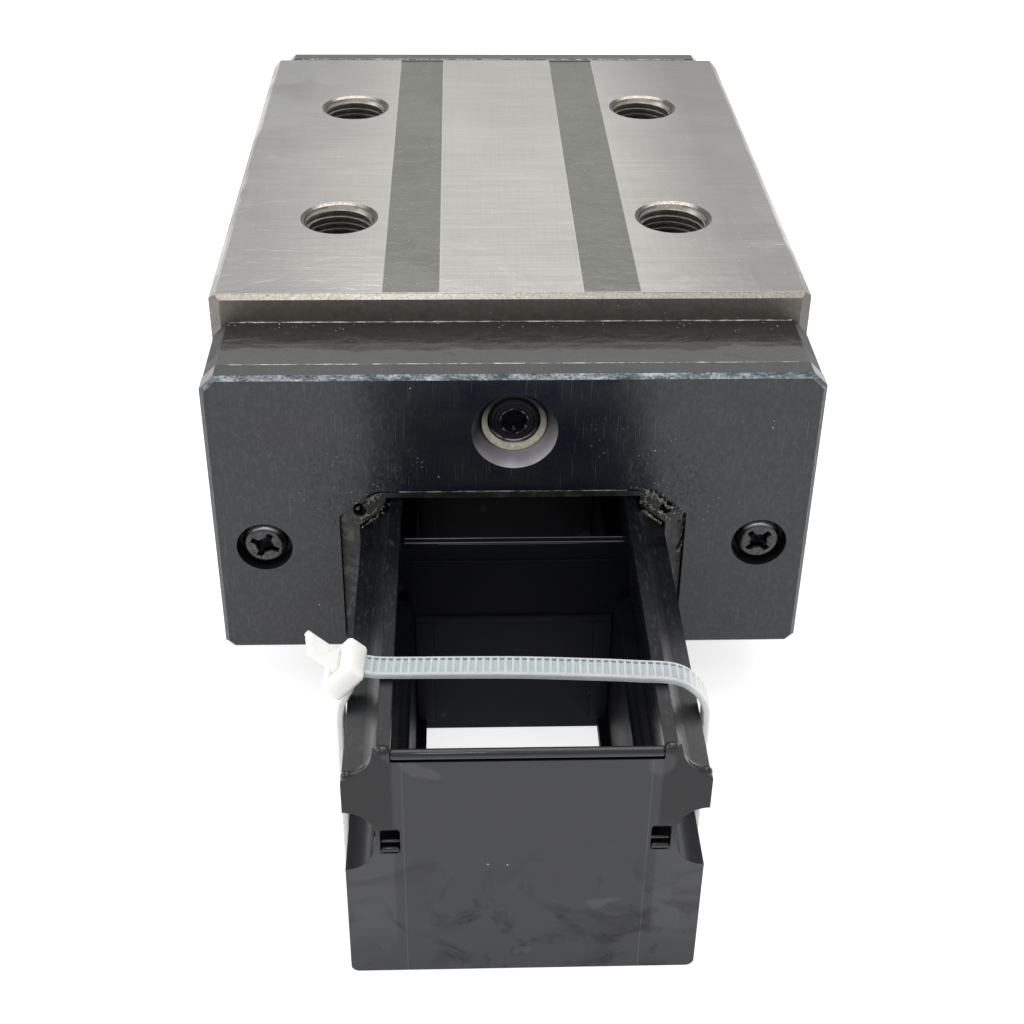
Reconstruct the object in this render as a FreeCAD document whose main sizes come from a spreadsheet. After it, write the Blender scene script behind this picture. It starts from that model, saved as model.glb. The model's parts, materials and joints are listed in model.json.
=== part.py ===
import FreeCAD, Part
import Sketcher
import math
import os

# A size 65 ball guide carriage on its moulded dummy rail, with the cable tie that keeps it there.
# +Y runs along the rail, +Z up. The origin is the middle of the rail's base, under the carriage's middle.

Vector = FreeCAD.Vector
doc = FreeCAD.newDocument("linear_guide_carriage")
sheet = doc.addObject("Spreadsheet::Sheet", "Sizes")


def enter_sizes(sizes):
    """Driving dimensions, in millimetres, each under its own name."""
    for row, (alias, size) in enumerate(sizes.items(), start=1):
        sheet.set(f"A{row}", alias)
        sheet.set(f"B{row}", str(size))
        sheet.setAlias(f"B{row}", alias)
    doc.recompute()


enter_sizes({
    # steel block
    "guide_height": 90.0,
    "block_width": 126.0,
    "block_length": 147.0,
    "block_bottom": 17.5,
    "block_side_bevel": 1.8,
    "block_end_bevel": 1.05,
    "block_corner_bevel": 2.5,
    "channel_half_width": 34.4,
    "channel_throat_half_width": 32.6,
    "channel_ceiling": 56.9,
    "channel_ceiling_half_width": 30.6,
    "channel_shoulder": 52.0,
    "channel_step": 31.0,
    "strip_inner_edge": 15.0,
    "strip_width": 12.0,
    "strip_depth": 0.25,
    "strip_end_gap": 1.2,
    "bolt_spacing_across": 76.0,
    "bolt_spacing_along": 70.0,
    "bolt_hole_radius": 8.0,
    "bolt_hole_depth": 20.0,
    "bolt_mouth_radius": 8.8,
    "bolt_mouth_depth": 0.46,
    # ball circuits
    "ball_radius": 5.556,
    "balls_in_circuit": 30,
    "race_radius": 5.606,
    "turn_tube_radius": 5.9,
    "return_bore_radius": 6.0,
    "row_offset": 31.6,
    "return_offset": 46.2,
    "upper_row_height": 54.5,
    "lower_row_height": 35.0,
    "return_guide_radius": 6.4,
    "return_guide_height": 14.4,
    "return_guide_room": 20.0,
    "fit_gap": 0.05,
    "overcut": 1.0,
    # end caps and plates
    "cap_length": 17.9,
    "plate_thickness": 5.1,
    "plate_overhang": 0.1,
    "cap_half_width": 62.2,
    "cap_top": 83.8,
    "cap_bottom": 15.7,
    "cap_top_bevel": 3.0,
    "cap_bottom_bevel": 1.8,
    "plate_edge_bevel": 0.9,
    "cap_opening_half_width": 33.0,
    "cap_opening_top": 56.2,
    "plate_opening_half_width": 36.1,
    "plate_opening_top": 56.7,
    "plate_opening_bevel": 6.2,
    "seal_thickness": 3.4,
    "seal_recess": 1.1,
    "seal_edge_gap": 0.1,
    "seal_bottom_gap": 0.3,
    "seal_lip_height": 0.7,
    "seal_lip_width": 1.6,
    "seal_lip_bevel": 5.0,
    "seal_gap": 0.35,
    "seal_hole_radius": 1.35,
    "seal_hole_offset": 31.9,
    "seal_hole_level": 51.2,
    # end screws
    "screw_offset": 52.0,
    "screw_level": 42.9,
    "screw_pocket_radius": 5.85,
    "screw_pocket_depth": 4.1,
    "screw_head_radius": 4.75,
    "screw_head_height": 3.7,
    "screw_head_round": 1.6,
    "screw_shank_radius": 2.45,
    "screw_clearance_radius": 2.8,
    "screw_reach": 32.0,
    "cross_width": 1.5,
    "cross_span": 6.2,
    "cross_depth": 2.2,
    # grease port
    "port_level": 71.0,
    "port_mouth_radius": 8.75,
    "port_seat_radius": 6.65,
    "port_seat_depth": 4.4,
    "port_bush_wall": 0.7,
    "port_bush_rim": 0.1,
    "port_bore_depth": 12.0,
    "port_ring_height": 0.9,
    "port_ring_dish": 0.8,
    "port_plug_radius": 5.4,
    "port_plug_length": 9.0,
    "port_plug_recess": 3.9,
    "port_plug_round": 0.8,
    "port_socket_width": 5.0,
    "port_socket_depth": 3.2,
    # dummy rail
    "rail_half_width": 31.6,
    "rail_height": 54.0,
    "rail_half_length": 170.1,
    "end_wall": 1.6,
    "end_wall_top": 52.2,
    "groove_offset": 31.7,
    "end_lip_radius": 5.7,
    "groove_radius": 6.3,
    "groove_slope": 37.0,
    "lower_relief_level": 32.0,
    "lower_relief_radius": 5.2,
    "slot_inner": 21.8,
    "slot_outer": 25.3,
    "slot_bottom": 30.7,
    "slot_top": 36.5,
    "wire_room_outer": 28.5,
    "wire_room_top": 34.6,
    "cross_wall": 2.0,
    "cross_wall_top": 50.2,
    "cell_pitch": 52.35,
    "cell_top_half_width": 23.1,
    "cell_upper_half_width": 24.1,
    "cell_lower_half_width": 20.8,
    "cell_shoulder": 35.2,
    "cell_shoulder_round": 1.2,
    "cell_strip_bottom": 51.6,
    "floor_window_half_width": 18.7,
    "floor_lip": 2.6,
    "floor_strip_width": 10.0,
    "rail_corner_radius": 1.5,
    # cable tie
    "tie_centre": -150.3,
    "tie_yaw": -2.5,
    "tie_width": 4.8,
    "tie_thickness": 1.25,
    "tie_inner_half_width": 32.2,
    "tie_inner_top": 54.3,
    "tie_inner_bottom": 1.5,
    "tie_top_flat": 26.2,
    "tie_shoulder_level": 48.6,
    "tie_foot_bevel": 0.6,
    "tie_bevel_growth": 0.4,
    "tie_shoulder_radius": 4.0,
    "tie_head_length": 4.6,
    "tie_head_height": 7.6,
    "tie_head_width": 9.0,
    "tie_head_across": -31.9,
    "tie_head_level": 55.1,
    "tie_head_angle": 41.4,
    "tie_tail_length": 5.8,
    "tie_slot_reach": 5.2,
    "tie_notch_depth": 1.7,
    "tie_notch_width": 8.0,
    # parts round the loaded balls
    "retainer_inner": 32.2,
    "retainer_outer": 34.2,
    "retainer_bottom": 41.2,
    "retainer_top": 48.3,
    "retainer_round": 0.6,
    "retainer_end_gap": 0.1,
    "wire_radius": 0.8,
    "wire_offset": 24.7,
    "wire_level": 33.1,
    "wire_half_length": 90.4,
    "lug_length": 3.2,
    "lug_height": 2.4,
    "lug_tip": 23.3,
    "lug_skin": 0.6,
    "bottom_seal_inner": 32.0,
    "bottom_seal_outer": 45.0,
    "bottom_seal_bottom": 16.2,
    "bottom_seal_lip_width": 1.4,
    "bottom_seal_lip_drop": 0.4,
    "bottom_seal_end_gap": 0.2,
})

SIDES = {"left": -1, "right": 1}
ROWS = {"upper": "Sizes.upper_row_height", "lower": "Sizes.lower_row_height"}
ENDS = {"front": 0, "rear": 180}
HALF_BLOCK = "Sizes.block_length / 2"
PLATE_BACK = f"({HALF_BLOCK} + Sizes.cap_length)"
PLATE_FACE = f"({HALF_BLOCK} + Sizes.cap_length + Sizes.plate_thickness)"
TURN_RADIUS = "((Sizes.return_offset - Sizes.row_offset) / 2)"
TURN_CENTRE = "((Sizes.return_offset + Sizes.row_offset) / 2)"
sub_parts = []


def number(expression):
    """Value of an expression of the sheet's sizes."""
    return float(sheet.evalExpression(str(expression)))


def bind(item, **sizes):
    for name, expression in sizes.items():
        item.setExpression(name, expression)


def bind_place(item, across="0", along="0", up="0"):
    """Ties an object's position to the sheet."""
    for axis, expression in (("x", across), ("y", along), ("z", up)):
        item.setExpression(f"Placement.Base.{axis}", expression)


def finish_part(item, label, turn=0):
    """Names a sub-part and turns it about the vertical axis to its end of the carriage."""
    item.Label = label
    if turn:
        item.Placement = FreeCAD.Placement(Vector(0, 0, 0), FreeCAD.Rotation(Vector(0, 0, 1), turn))
    sub_parts.append(item)
    return item


# ---- sketches and features ----


def new_body(name):
    return doc.addObject("PartDesign::Body", name)


def new_sketch(body, role, offset="0"):
    """Empty sketch on one of the body's own origin planes, moved along the plane's normal."""
    sketch = body.newObject("Sketcher::SketchObject", "Sketch")
    plane = next(item for item in body.Origin.OriginFeatures if item.Role == role)
    sketch.AttachmentSupport = [(plane, "")]
    sketch.MapMode = "FlatFace"
    sketch.setExpression("AttachmentOffset.Base.z", offset)
    return sketch


def fix_point(sketch, geometry, point, across, up):
    for kind, expression in (("DistanceX", across), ("DistanceY", up)):
        limit = Sketcher.Constraint(kind, -1, 1, geometry, point, number(expression))
        sketch.setExpression(f"Constraints[{sketch.addConstraint(limit)}]", expression)


def draw_outline(sketch, corners):
    """Closed straight-sided outline through corners given as pairs of expressions."""
    points = [Vector(number(across), number(up), 0) for across, up in corners]
    first = sketch.GeometryCount
    count = len(points)
    for index in range(count):
        sketch.addGeometry(Part.LineSegment(points[index], points[(index + 1) % count]))
    for index in range(count):
        after = first + (index + 1) % count
        sketch.addConstraint(Sketcher.Constraint("Coincident", first + index, 2, after, 1))
    for index, (across, up) in enumerate(corners):
        fix_point(sketch, first + index, 1, across, up)


def draw_mirrored(sketch, half):
    """Outline from its right half, listed from bottom to top, and the mirror image of that half."""
    other = [(f"-({across})", up) for across, up in reversed(half)]
    draw_outline(sketch, list(half) + other)


def draw_circle(sketch, across, up, radius):
    centre = Vector(number(across), number(up), 0)
    circle = sketch.addGeometry(Part.Circle(centre, Vector(0, 0, 1), number(radius)))
    fix_point(sketch, circle, 3, across, up)
    limit = Sketcher.Constraint("Radius", circle, number(radius))
    sketch.setExpression(f"Constraints[{sketch.addConstraint(limit)}]", radius)


def pad(body, sketch, length, symmetric=False, reverse=False):
    feature = body.newObject("PartDesign::Pad", "Pad")
    feature.Profile = sketch
    feature.SideType = "Symmetric" if symmetric else "One side"
    feature.Reversed = reverse
    bind(feature, Length=length)
    doc.recompute()
    return feature


def pocket(body, sketch, depth, symmetric=False, reverse=False):
    """Cuts a sketch out of the body and makes sure that it took material away."""
    before = body.Shape.Volume
    feature = body.newObject("PartDesign::Pocket", "Pocket")
    feature.Profile = sketch
    feature.SideType = "Symmetric" if symmetric else "One side"
    feature.Reversed = reverse
    bind(feature, Length=depth)
    doc.recompute()
    if not body.Shape.Volume < before - 1e-6:
        raise RuntimeError(f"a pocket of {body.Name} removes nothing")
    return feature


def edge_names(feature, wanted):
    return [f"Edge{index}" for index, edge in enumerate(feature.Shape.Edges, start=1) if wanted(edge)]


def soften(body, kind, size, wanted):
    """Fillet or chamfer on the tip's edges that answer the description."""
    base = body.Tip
    names = edge_names(base, wanted)
    if not names:
        raise RuntimeError(f"{body.Name} has no edge for a {kind}")
    feature = body.newObject(f"PartDesign::{kind}", kind)
    feature.Base = (base, names)
    bind(feature, **{"Radius" if kind == "Fillet" else "Size": size})
    doc.recompute()
    return feature


def runs_along(edge, axis):
    box = edge.BoundBox
    spans = {"x": box.XLength, "y": box.YLength, "z": box.ZLength}
    return spans[axis] > 0.1 and all(span < 1e-3 for name, span in spans.items() if name != axis)


def near(value, target):
    return abs(value - target) < 0.02


# ---- primitives ----


def cylinder(across, along, up, radius, height, axis="y"):
    """Cylinder that starts at a point and runs along +Y or +Z."""
    item = doc.addObject("Part::Cylinder", "Cylinder")
    if axis == "y":
        item.Placement = FreeCAD.Placement(Vector(0, 0, 0), FreeCAD.Rotation(Vector(1, 0, 0), -90))
    bind(item, Radius=radius, Height=height)
    bind_place(item, across, along, up)
    return item


def block(across, along, up, width, length, height):
    """Box from its lowest corner."""
    item = doc.addObject("Part::Box", "Box")
    bind(item, Length=width, Width=length, Height=height)
    bind_place(item, across, along, up)
    return item


def turn_tube(across, along, up):
    """Ring-shaped path in which the balls turn from the loaded row to the return row."""
    item = doc.addObject("Part::Torus", "Torus")
    bind(item, Radius1=TURN_RADIUS, Radius2="Sizes.turn_tube_radius")
    bind_place(item, across, along, up)
    return item


def joined(items):
    item = doc.addObject("Part::MultiFuse", "Fuse")
    item.Shapes = items
    return item


def cut(base, tools):
    item = doc.addObject("Part::Cut", "Cut")
    item.Base = base
    item.Tool = tools[0] if len(tools) == 1 else joined(tools)
    return item


def grouped(items):
    """Separate solids of one kind kept together as one sub-part."""
    item = doc.addObject("Part::Compound", "Group")
    item.Links = items
    return item


# ---- steel block ----


def make_slide_body():
    body = new_body("SlideBody")
    profile = new_sketch(body, "XZ_Plane")
    half_width = "Sizes.block_width / 2"
    draw_outline(profile, [
        ("Sizes.channel_throat_half_width", "Sizes.block_bottom"),
        (half_width, "Sizes.block_bottom"),
        (half_width, "Sizes.guide_height - Sizes.block_side_bevel"),
        (f"{half_width} - Sizes.block_side_bevel", "Sizes.guide_height"),
        (f"Sizes.block_side_bevel - {half_width}", "Sizes.guide_height"),
        (f"-{half_width}", "Sizes.guide_height - Sizes.block_side_bevel"),
        (f"-{half_width}", "Sizes.block_bottom"),
        ("-Sizes.channel_throat_half_width", "Sizes.block_bottom"),
        ("-Sizes.channel_throat_half_width", "Sizes.channel_step"),
        ("-Sizes.channel_half_width", "Sizes.channel_step"),
        ("-Sizes.channel_half_width", "Sizes.channel_shoulder"),
        ("-Sizes.channel_ceiling_half_width", "Sizes.channel_ceiling"),
        ("Sizes.channel_ceiling_half_width", "Sizes.channel_ceiling"),
        ("Sizes.channel_half_width", "Sizes.channel_shoulder"),
        ("Sizes.channel_half_width", "Sizes.channel_step"),
        ("Sizes.channel_throat_half_width", "Sizes.channel_step"),
    ])
    pad(body, profile, "Sizes.block_length", symmetric=True)

    races = new_sketch(body, "XZ_Plane")
    for side in SIDES.values():
        for level in ROWS.values():
            draw_circle(races, f"{side} * Sizes.row_offset", level, "Sizes.race_radius")
            draw_circle(races, f"{side} * Sizes.return_offset", level, "Sizes.return_bore_radius")
    pocket(body, races, "Sizes.block_length + 2 * Sizes.overcut", symmetric=True)

    corner = number(half_width)
    end = number(HALF_BLOCK)
    soften(body, "Chamfer", "Sizes.block_corner_bevel", lambda edge: runs_along(edge, "z")
           and near(abs(edge.CenterOfMass.x), corner) and near(abs(edge.CenterOfMass.y), end))
    top = number("Sizes.guide_height")
    soften(body, "Chamfer", "Sizes.block_end_bevel", lambda edge: runs_along(edge, "x")
           and near(edge.CenterOfMass.z, top) and near(abs(edge.CenterOfMass.y), end))

    strips = new_sketch(body, "XY_Plane", "Sizes.guide_height")
    reach = f"({HALF_BLOCK} - Sizes.strip_end_gap)"
    for side in SIDES.values():
        inner = f"{side} * Sizes.strip_inner_edge"
        outer = f"{side} * (Sizes.strip_inner_edge + Sizes.strip_width)"
        draw_outline(strips, [(inner, f"-{reach}"), (outer, f"-{reach}"), (outer, reach), (inner, reach)])
    pocket(body, strips, "Sizes.strip_depth")

    bolts = new_sketch(body, "XY_Plane", "Sizes.guide_height")
    for side in SIDES.values():
        for way in (-1, 1):
            draw_circle(bolts, f"{side} * Sizes.bolt_spacing_across / 2",
                        f"{way} * Sizes.bolt_spacing_along / 2", "Sizes.bolt_hole_radius")
    pocket(body, bolts, "Sizes.bolt_hole_depth")
    bolt_hole = 2 * number("Sizes.bolt_hole_radius")
    mouth = soften(body, "Chamfer", "Sizes.bolt_mouth_radius - Sizes.bolt_hole_radius", lambda edge:
                   near(edge.CenterOfMass.z, top) and near(edge.BoundBox.XLength, bolt_hole)
                   and near(edge.BoundBox.YLength, bolt_hole))
    mouth.ChamferType = "Two distances"
    bind(mouth, Size2="Sizes.bolt_mouth_depth")
    doc.recompute()

    # two screw holes in each end face
    for reverse in (False, True):
        ends = new_sketch(body, "XZ_Plane", f"-{HALF_BLOCK}" if reverse else HALF_BLOCK)
        for side in SIDES.values():
            draw_circle(ends, f"{side} * Sizes.screw_offset", "Sizes.screw_level",
                        "Sizes.screw_shank_radius + Sizes.fit_gap")
        pocket(body, ends, "Sizes.screw_reach - Sizes.cap_length", reverse=reverse)
    finish_part(body, "slide_body")


# ---- ends of the carriage, each made at the front and turned round for the rear ----


def draw_cap_outline(sketch, half_width, top, bottom):
    draw_mirrored(sketch, [
        (f"{half_width} - Sizes.cap_bottom_bevel", bottom),
        (half_width, f"{bottom} + Sizes.cap_bottom_bevel"),
        (half_width, f"{top} - Sizes.cap_top_bevel"),
        (f"{half_width} - Sizes.cap_top_bevel", top),
    ])


def draw_plate_opening(sketch, gap, bottom):
    """Outline of the opening round the rail, with bevelled upper corners, drawn in by a gap."""
    half_width = f"(Sizes.plate_opening_half_width - ({gap}))"
    top = f"(Sizes.plate_opening_top - ({gap}))"
    draw_mirrored(sketch, [
        (half_width, bottom),
        (half_width, f"{top} - Sizes.plate_opening_bevel"),
        (f"{half_width} - Sizes.plate_opening_bevel", top),
    ])


def make_end_cap(end, turn):
    body = new_body("EndCapBlank")
    profile = new_sketch(body, "XZ_Plane", HALF_BLOCK)
    draw_cap_outline(profile, "Sizes.cap_half_width", "Sizes.cap_top", "Sizes.cap_bottom")
    pad(body, profile, "Sizes.cap_length")
    opening = new_sketch(body, "XZ_Plane", PLATE_BACK)
    draw_mirrored(opening, [
        ("Sizes.cap_opening_half_width", "Sizes.cap_bottom - Sizes.overcut"),
        ("Sizes.cap_opening_half_width", "Sizes.cap_opening_top"),
    ])
    pocket(body, opening, "Sizes.cap_length")
    tools = []
    lugs = []
    for side in SIDES.values():
        tools.append(cylinder(f"{side} * Sizes.screw_offset", f"-{PLATE_BACK} - Sizes.overcut",
                              "Sizes.screw_level", "Sizes.screw_clearance_radius",
                              "Sizes.cap_length + 2 * Sizes.overcut"))
        for level in ROWS.values():
            centre = f"{side} * {TURN_CENTRE}"
            tools.append(turn_tube(centre, f"-{HALF_BLOCK}", level))
            tools.append(cylinder(centre, f"-{HALF_BLOCK}",
                                  f"{level} - Sizes.return_guide_height / 2 - Sizes.fit_gap",
                                  "Sizes.return_guide_radius + Sizes.fit_gap",
                                  "Sizes.return_guide_height + 2 * Sizes.fit_gap", "z"))
        # lug that holds the end of the retaining wire
        reach = "(Sizes.cap_opening_half_width - Sizes.lug_tip + Sizes.overcut)"
        start = "Sizes.lug_tip" if side > 0 else f"-Sizes.lug_tip - {reach}"
        lug = block(start, f"-{PLATE_BACK}", "Sizes.wire_level - Sizes.lug_height / 2",
                    reach, "Sizes.lug_length", "Sizes.lug_height")
        hole = cylinder(f"{side} * Sizes.wire_offset", f"-{PLATE_BACK} + Sizes.lug_skin", "Sizes.wire_level",
                        "Sizes.wire_radius + Sizes.fit_gap", "Sizes.lug_length")
        lugs.append(cut(lug, [hole]))
    tools.append(cylinder("0", f"-{PLATE_BACK} - Sizes.overcut", "Sizes.port_level",
                          "Sizes.port_plug_radius + Sizes.fit_gap", "Sizes.port_bore_depth + Sizes.overcut"))
    finish_part(joined([cut(body, tools)] + lugs), f"end_cap_{end}", turn)


def make_return_guides(end, turn):
    """Saddles that fill the inside of each turn; the cap's half of a waisted spool."""
    guides = []
    for side in SIDES.values():
        for level in ROWS.values():
            centre = f"{side} * {TURN_CENTRE}"
            spool = cylinder(centre, f"-{HALF_BLOCK}", f"{level} - Sizes.return_guide_height / 2",
                             "Sizes.return_guide_radius", "Sizes.return_guide_height", "z")
            room = "Sizes.return_guide_room"
            other_half = block(f"{centre} - {room} / 2", f"-{HALF_BLOCK}", f"{level} - {room} / 2",
                               room, room, room)
            guides.append(cut(spool, [turn_tube(centre, f"-{HALF_BLOCK}", level), other_half]))
    finish_part(grouped(guides), f"return_guides_{end}", turn)


def make_end_plate(end, turn):
    body = new_body("EndPlate")
    profile = new_sketch(body, "XZ_Plane", PLATE_BACK)
    draw_cap_outline(profile, "Sizes.cap_half_width + Sizes.plate_overhang",
                     "Sizes.cap_top + Sizes.plate_overhang", "Sizes.cap_bottom - Sizes.plate_overhang")
    pad(body, profile, "Sizes.plate_thickness")
    face = -number(PLATE_FACE)
    soften(body, "Chamfer", "Sizes.plate_edge_bevel", lambda edge: near(edge.CenterOfMass.y, face))
    opening = new_sketch(body, "XZ_Plane", PLATE_FACE)
    draw_plate_opening(opening, "0", "Sizes.cap_bottom - Sizes.overcut")
    pocket(body, opening, "Sizes.plate_thickness")
    heads = new_sketch(body, "XZ_Plane", PLATE_FACE)
    shanks = new_sketch(body, "XZ_Plane", PLATE_FACE)
    for side in SIDES.values():
        centre = f"{side} * Sizes.screw_offset"
        draw_circle(heads, centre, "Sizes.screw_level", "Sizes.screw_pocket_radius")
        draw_circle(shanks, centre, "Sizes.screw_level", "Sizes.screw_clearance_radius")
    draw_circle(shanks, "0", "Sizes.port_level", "Sizes.port_plug_radius + Sizes.fit_gap")
    pocket(body, heads, "Sizes.screw_pocket_depth")
    pocket(body, shanks, "Sizes.plate_thickness")
    seat = doc.addObject("Part::Cone", "Seat")
    seat.Placement = FreeCAD.Placement(Vector(0, 0, 0), FreeCAD.Rotation(Vector(1, 0, 0), -90))
    bind(seat, Radius1="Sizes.port_mouth_radius", Radius2="Sizes.port_seat_radius + Sizes.port_bush_wall",
         Height="Sizes.port_seat_depth + Sizes.port_bush_wall")
    bind_place(seat, "0", f"-{PLATE_FACE}", "Sizes.port_level")
    finish_part(cut(body, [seat]), f"end_plate_{end}", turn)


def make_grease_port(end, turn):
    """Conical seat, dished washer and socket plug of the port in the end plate."""
    outer = doc.addObject("Part::Cone", "BushOuter")
    inner = doc.addObject("Part::Cone", "BushInner")
    bind(outer, Radius1="Sizes.port_mouth_radius", Radius2="Sizes.port_seat_radius + Sizes.port_bush_wall",
         Height="Sizes.port_seat_depth + Sizes.port_bush_wall")
    bind(inner, Radius1="Sizes.port_mouth_radius - Sizes.port_bush_rim", Radius2="Sizes.port_seat_radius",
         Height="Sizes.port_seat_depth")
    for cone in (outer, inner):
        cone.Placement = FreeCAD.Placement(Vector(0, 0, 0), FreeCAD.Rotation(Vector(1, 0, 0), -90))
        bind_place(cone, "0", f"-{PLATE_FACE}", "Sizes.port_level")
    bore = cylinder("0", f"-{PLATE_FACE} - Sizes.overcut", "Sizes.port_level",
                    "Sizes.port_plug_radius + Sizes.fit_gap",
                    "Sizes.port_seat_depth + Sizes.port_bush_wall + 2 * Sizes.overcut")
    finish_part(cut(outer, [inner, bore]), f"grease_bush_{end}", turn)

    ring_start = f"-{PLATE_FACE} + Sizes.port_seat_depth - Sizes.port_ring_height"
    ring = cylinder("0", ring_start, "Sizes.port_level", "Sizes.port_seat_radius - Sizes.fit_gap",
                    "Sizes.port_ring_height")
    ring_bore = cylinder("0", f"{ring_start} - Sizes.overcut", "Sizes.port_level",
                         "Sizes.port_plug_radius + Sizes.fit_gap",
                         "Sizes.port_ring_height + 2 * Sizes.overcut")
    dish = doc.addObject("Part::Cone", "RingDish")
    dish.Placement = FreeCAD.Placement(Vector(0, 0, 0), FreeCAD.Rotation(Vector(1, 0, 0), -90))
    bind(dish, Radius1="Sizes.port_seat_radius - 3 * Sizes.fit_gap",
         Radius2="Sizes.port_plug_radius + Sizes.fit_gap", Height="Sizes.port_ring_dish")
    bind_place(dish, "0", ring_start, "Sizes.port_level")
    finish_part(cut(ring, [ring_bore, dish]), f"grease_ring_{end}", turn)

    plug = new_body("Plug")
    plug_face = f"{PLATE_FACE} - Sizes.port_plug_recess"
    section = new_sketch(plug, "XZ_Plane", plug_face)
    draw_circle(section, "0", "Sizes.port_level", "Sizes.port_plug_radius")
    pad(plug, section, "Sizes.port_plug_length", reverse=True)
    face = -number(plug_face)
    soften(plug, "Fillet", "Sizes.port_plug_round", lambda edge: near(edge.CenterOfMass.y, face))
    socket = new_sketch(plug, "XZ_Plane", plug_face)
    corner = "Sizes.port_socket_width / sqrt(3)"
    draw_outline(socket, [
        (f"{corner} * cos({angle})", f"Sizes.port_level + {corner} * sin({angle})")
        for angle in range(0, 360, 60)
    ])
    pocket(plug, socket, "Sizes.port_socket_depth")
    finish_part(plug, f"grease_plug_{end}", turn)


def draw_groove_slope(sketch, side, radius):
    """Slope that leaves the upper groove's round bottom and runs down to the rail's side."""
    touch = f"(Sizes.groove_offset - ({radius}) * sin(Sizes.groove_slope))"
    level = f"(Sizes.upper_row_height - ({radius}) * cos(Sizes.groove_slope))"
    edge = "(Sizes.rail_half_width + Sizes.overcut)"
    draw_outline(sketch, [
        (f"{side} * {touch}", level),
        (f"{side} * {edge}", f"{level} - ({edge} - {touch}) * tan(Sizes.groove_slope)"),
        (f"{side} * {edge}", level),
    ])


def make_end_seal(end, turn):
    """Seal in the plate's opening: its inner edge follows the rail, with a raised lip along it."""
    body = new_body("EndSeal")
    face = f"({PLATE_FACE} - Sizes.seal_recess)"
    profile = new_sketch(body, "XZ_Plane", f"{face} - Sizes.seal_thickness")
    draw_plate_opening(profile, "Sizes.seal_edge_gap", "Sizes.cap_bottom + Sizes.seal_bottom_gap")
    pad(body, profile, "Sizes.seal_thickness")
    flange = new_sketch(body, "XZ_Plane", face)
    draw_plate_opening(flange, "-Sizes.overcut", "Sizes.cap_bottom - Sizes.overcut")
    lip = "(Sizes.rail_half_width + Sizes.seal_lip_width)"
    lip_top = "(Sizes.rail_height + Sizes.seal_lip_width)"
    draw_mirrored(flange, [
        (lip, "Sizes.cap_bottom - Sizes.seal_bottom_gap"),
        (lip, f"{lip_top} - Sizes.seal_lip_bevel"),
        (f"{lip} - Sizes.seal_lip_bevel", lip_top),
    ])
    pocket(body, flange, "Sizes.seal_lip_height")
    holes = new_sketch(body, "XZ_Plane", face)
    for side in SIDES.values():
        draw_circle(holes, f"{side} * Sizes.seal_hole_offset", "Sizes.seal_hole_level",
                    "Sizes.seal_hole_radius")
    pocket(body, holes, "Sizes.seal_thickness")

    # room for the rail, with a lobe of the seal left standing in each of its grooves
    room = new_body("RailRoom")
    outline = new_sketch(room, "XZ_Plane", f"{face} - Sizes.seal_thickness - Sizes.overcut")
    draw_mirrored(outline, [
        ("Sizes.rail_half_width + Sizes.seal_gap", "0"),
        ("Sizes.rail_half_width + Sizes.seal_gap", "Sizes.rail_height + Sizes.seal_gap"),
    ])
    pad(room, outline, "Sizes.seal_thickness + 2 * Sizes.overcut")
    lobe_radius = "Sizes.end_lip_radius - Sizes.seal_gap"
    for side in SIDES.values():
        for level in ROWS.values():
            lobe = new_sketch(room, "XZ_Plane", f"{face} + Sizes.overcut")
            draw_circle(lobe, f"{side} * Sizes.groove_offset", level, lobe_radius)
            pocket(room, lobe, "Sizes.seal_thickness + 2 * Sizes.overcut")
        slope = new_sketch(room, "XZ_Plane", f"{face} + Sizes.overcut")
        draw_groove_slope(slope, side, lobe_radius)
        pocket(room, slope, "Sizes.seal_thickness + 2 * Sizes.overcut")
    finish_part(cut(body, [room]), f"end_seal_{end}", turn)


def make_end_screws(end, turn):
    """Pan head screws with a cross recess, sunk in the end plate."""
    screws = []
    seat = f"({PLATE_FACE} - Sizes.screw_pocket_depth)"
    for side in SIDES.values():
        body = new_body("EndScrew")
        centre = f"{side} * Sizes.screw_offset"
        head = new_sketch(body, "XZ_Plane", seat)
        draw_circle(head, centre, "Sizes.screw_level", "Sizes.screw_head_radius")
        pad(body, head, "Sizes.screw_head_height")
        face = -number(f"{seat} + Sizes.screw_head_height")
        soften(body, "Fillet", "Sizes.screw_head_round", lambda edge: near(edge.CenterOfMass.y, face))
        shank = new_sketch(body, "XZ_Plane", seat)
        draw_circle(shank, centre, "Sizes.screw_level", "Sizes.screw_shank_radius")
        pad(body, shank, "Sizes.screw_reach - Sizes.screw_pocket_depth", reverse=True)
        cross = new_sketch(body, "XZ_Plane", f"{seat} + Sizes.screw_head_height")
        wide = "Sizes.cross_span / 2"
        slim = "Sizes.cross_width / 2"
        draw_outline(cross, [
            (f"{centre} + {across}", f"Sizes.screw_level + {up}") for across, up in (
                (slim, slim), (slim, wide), (f"-{slim}", wide),
                (f"-{slim}", slim), (f"-{wide}", slim), (f"-{wide}", f"-{slim}"),
                (f"-{slim}", f"-{slim}"), (f"-{slim}", f"-{wide}"), (slim, f"-{wide}"),
                (slim, f"-{slim}"), (wide, f"-{slim}"), (wide, slim))
        ])
        pocket(body, cross, "Sizes.cross_depth")
        screws.append(body)
    finish_part(grouped(screws), f"end_screws_{end}", turn)


# ---- balls and the parts round them ----


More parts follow.
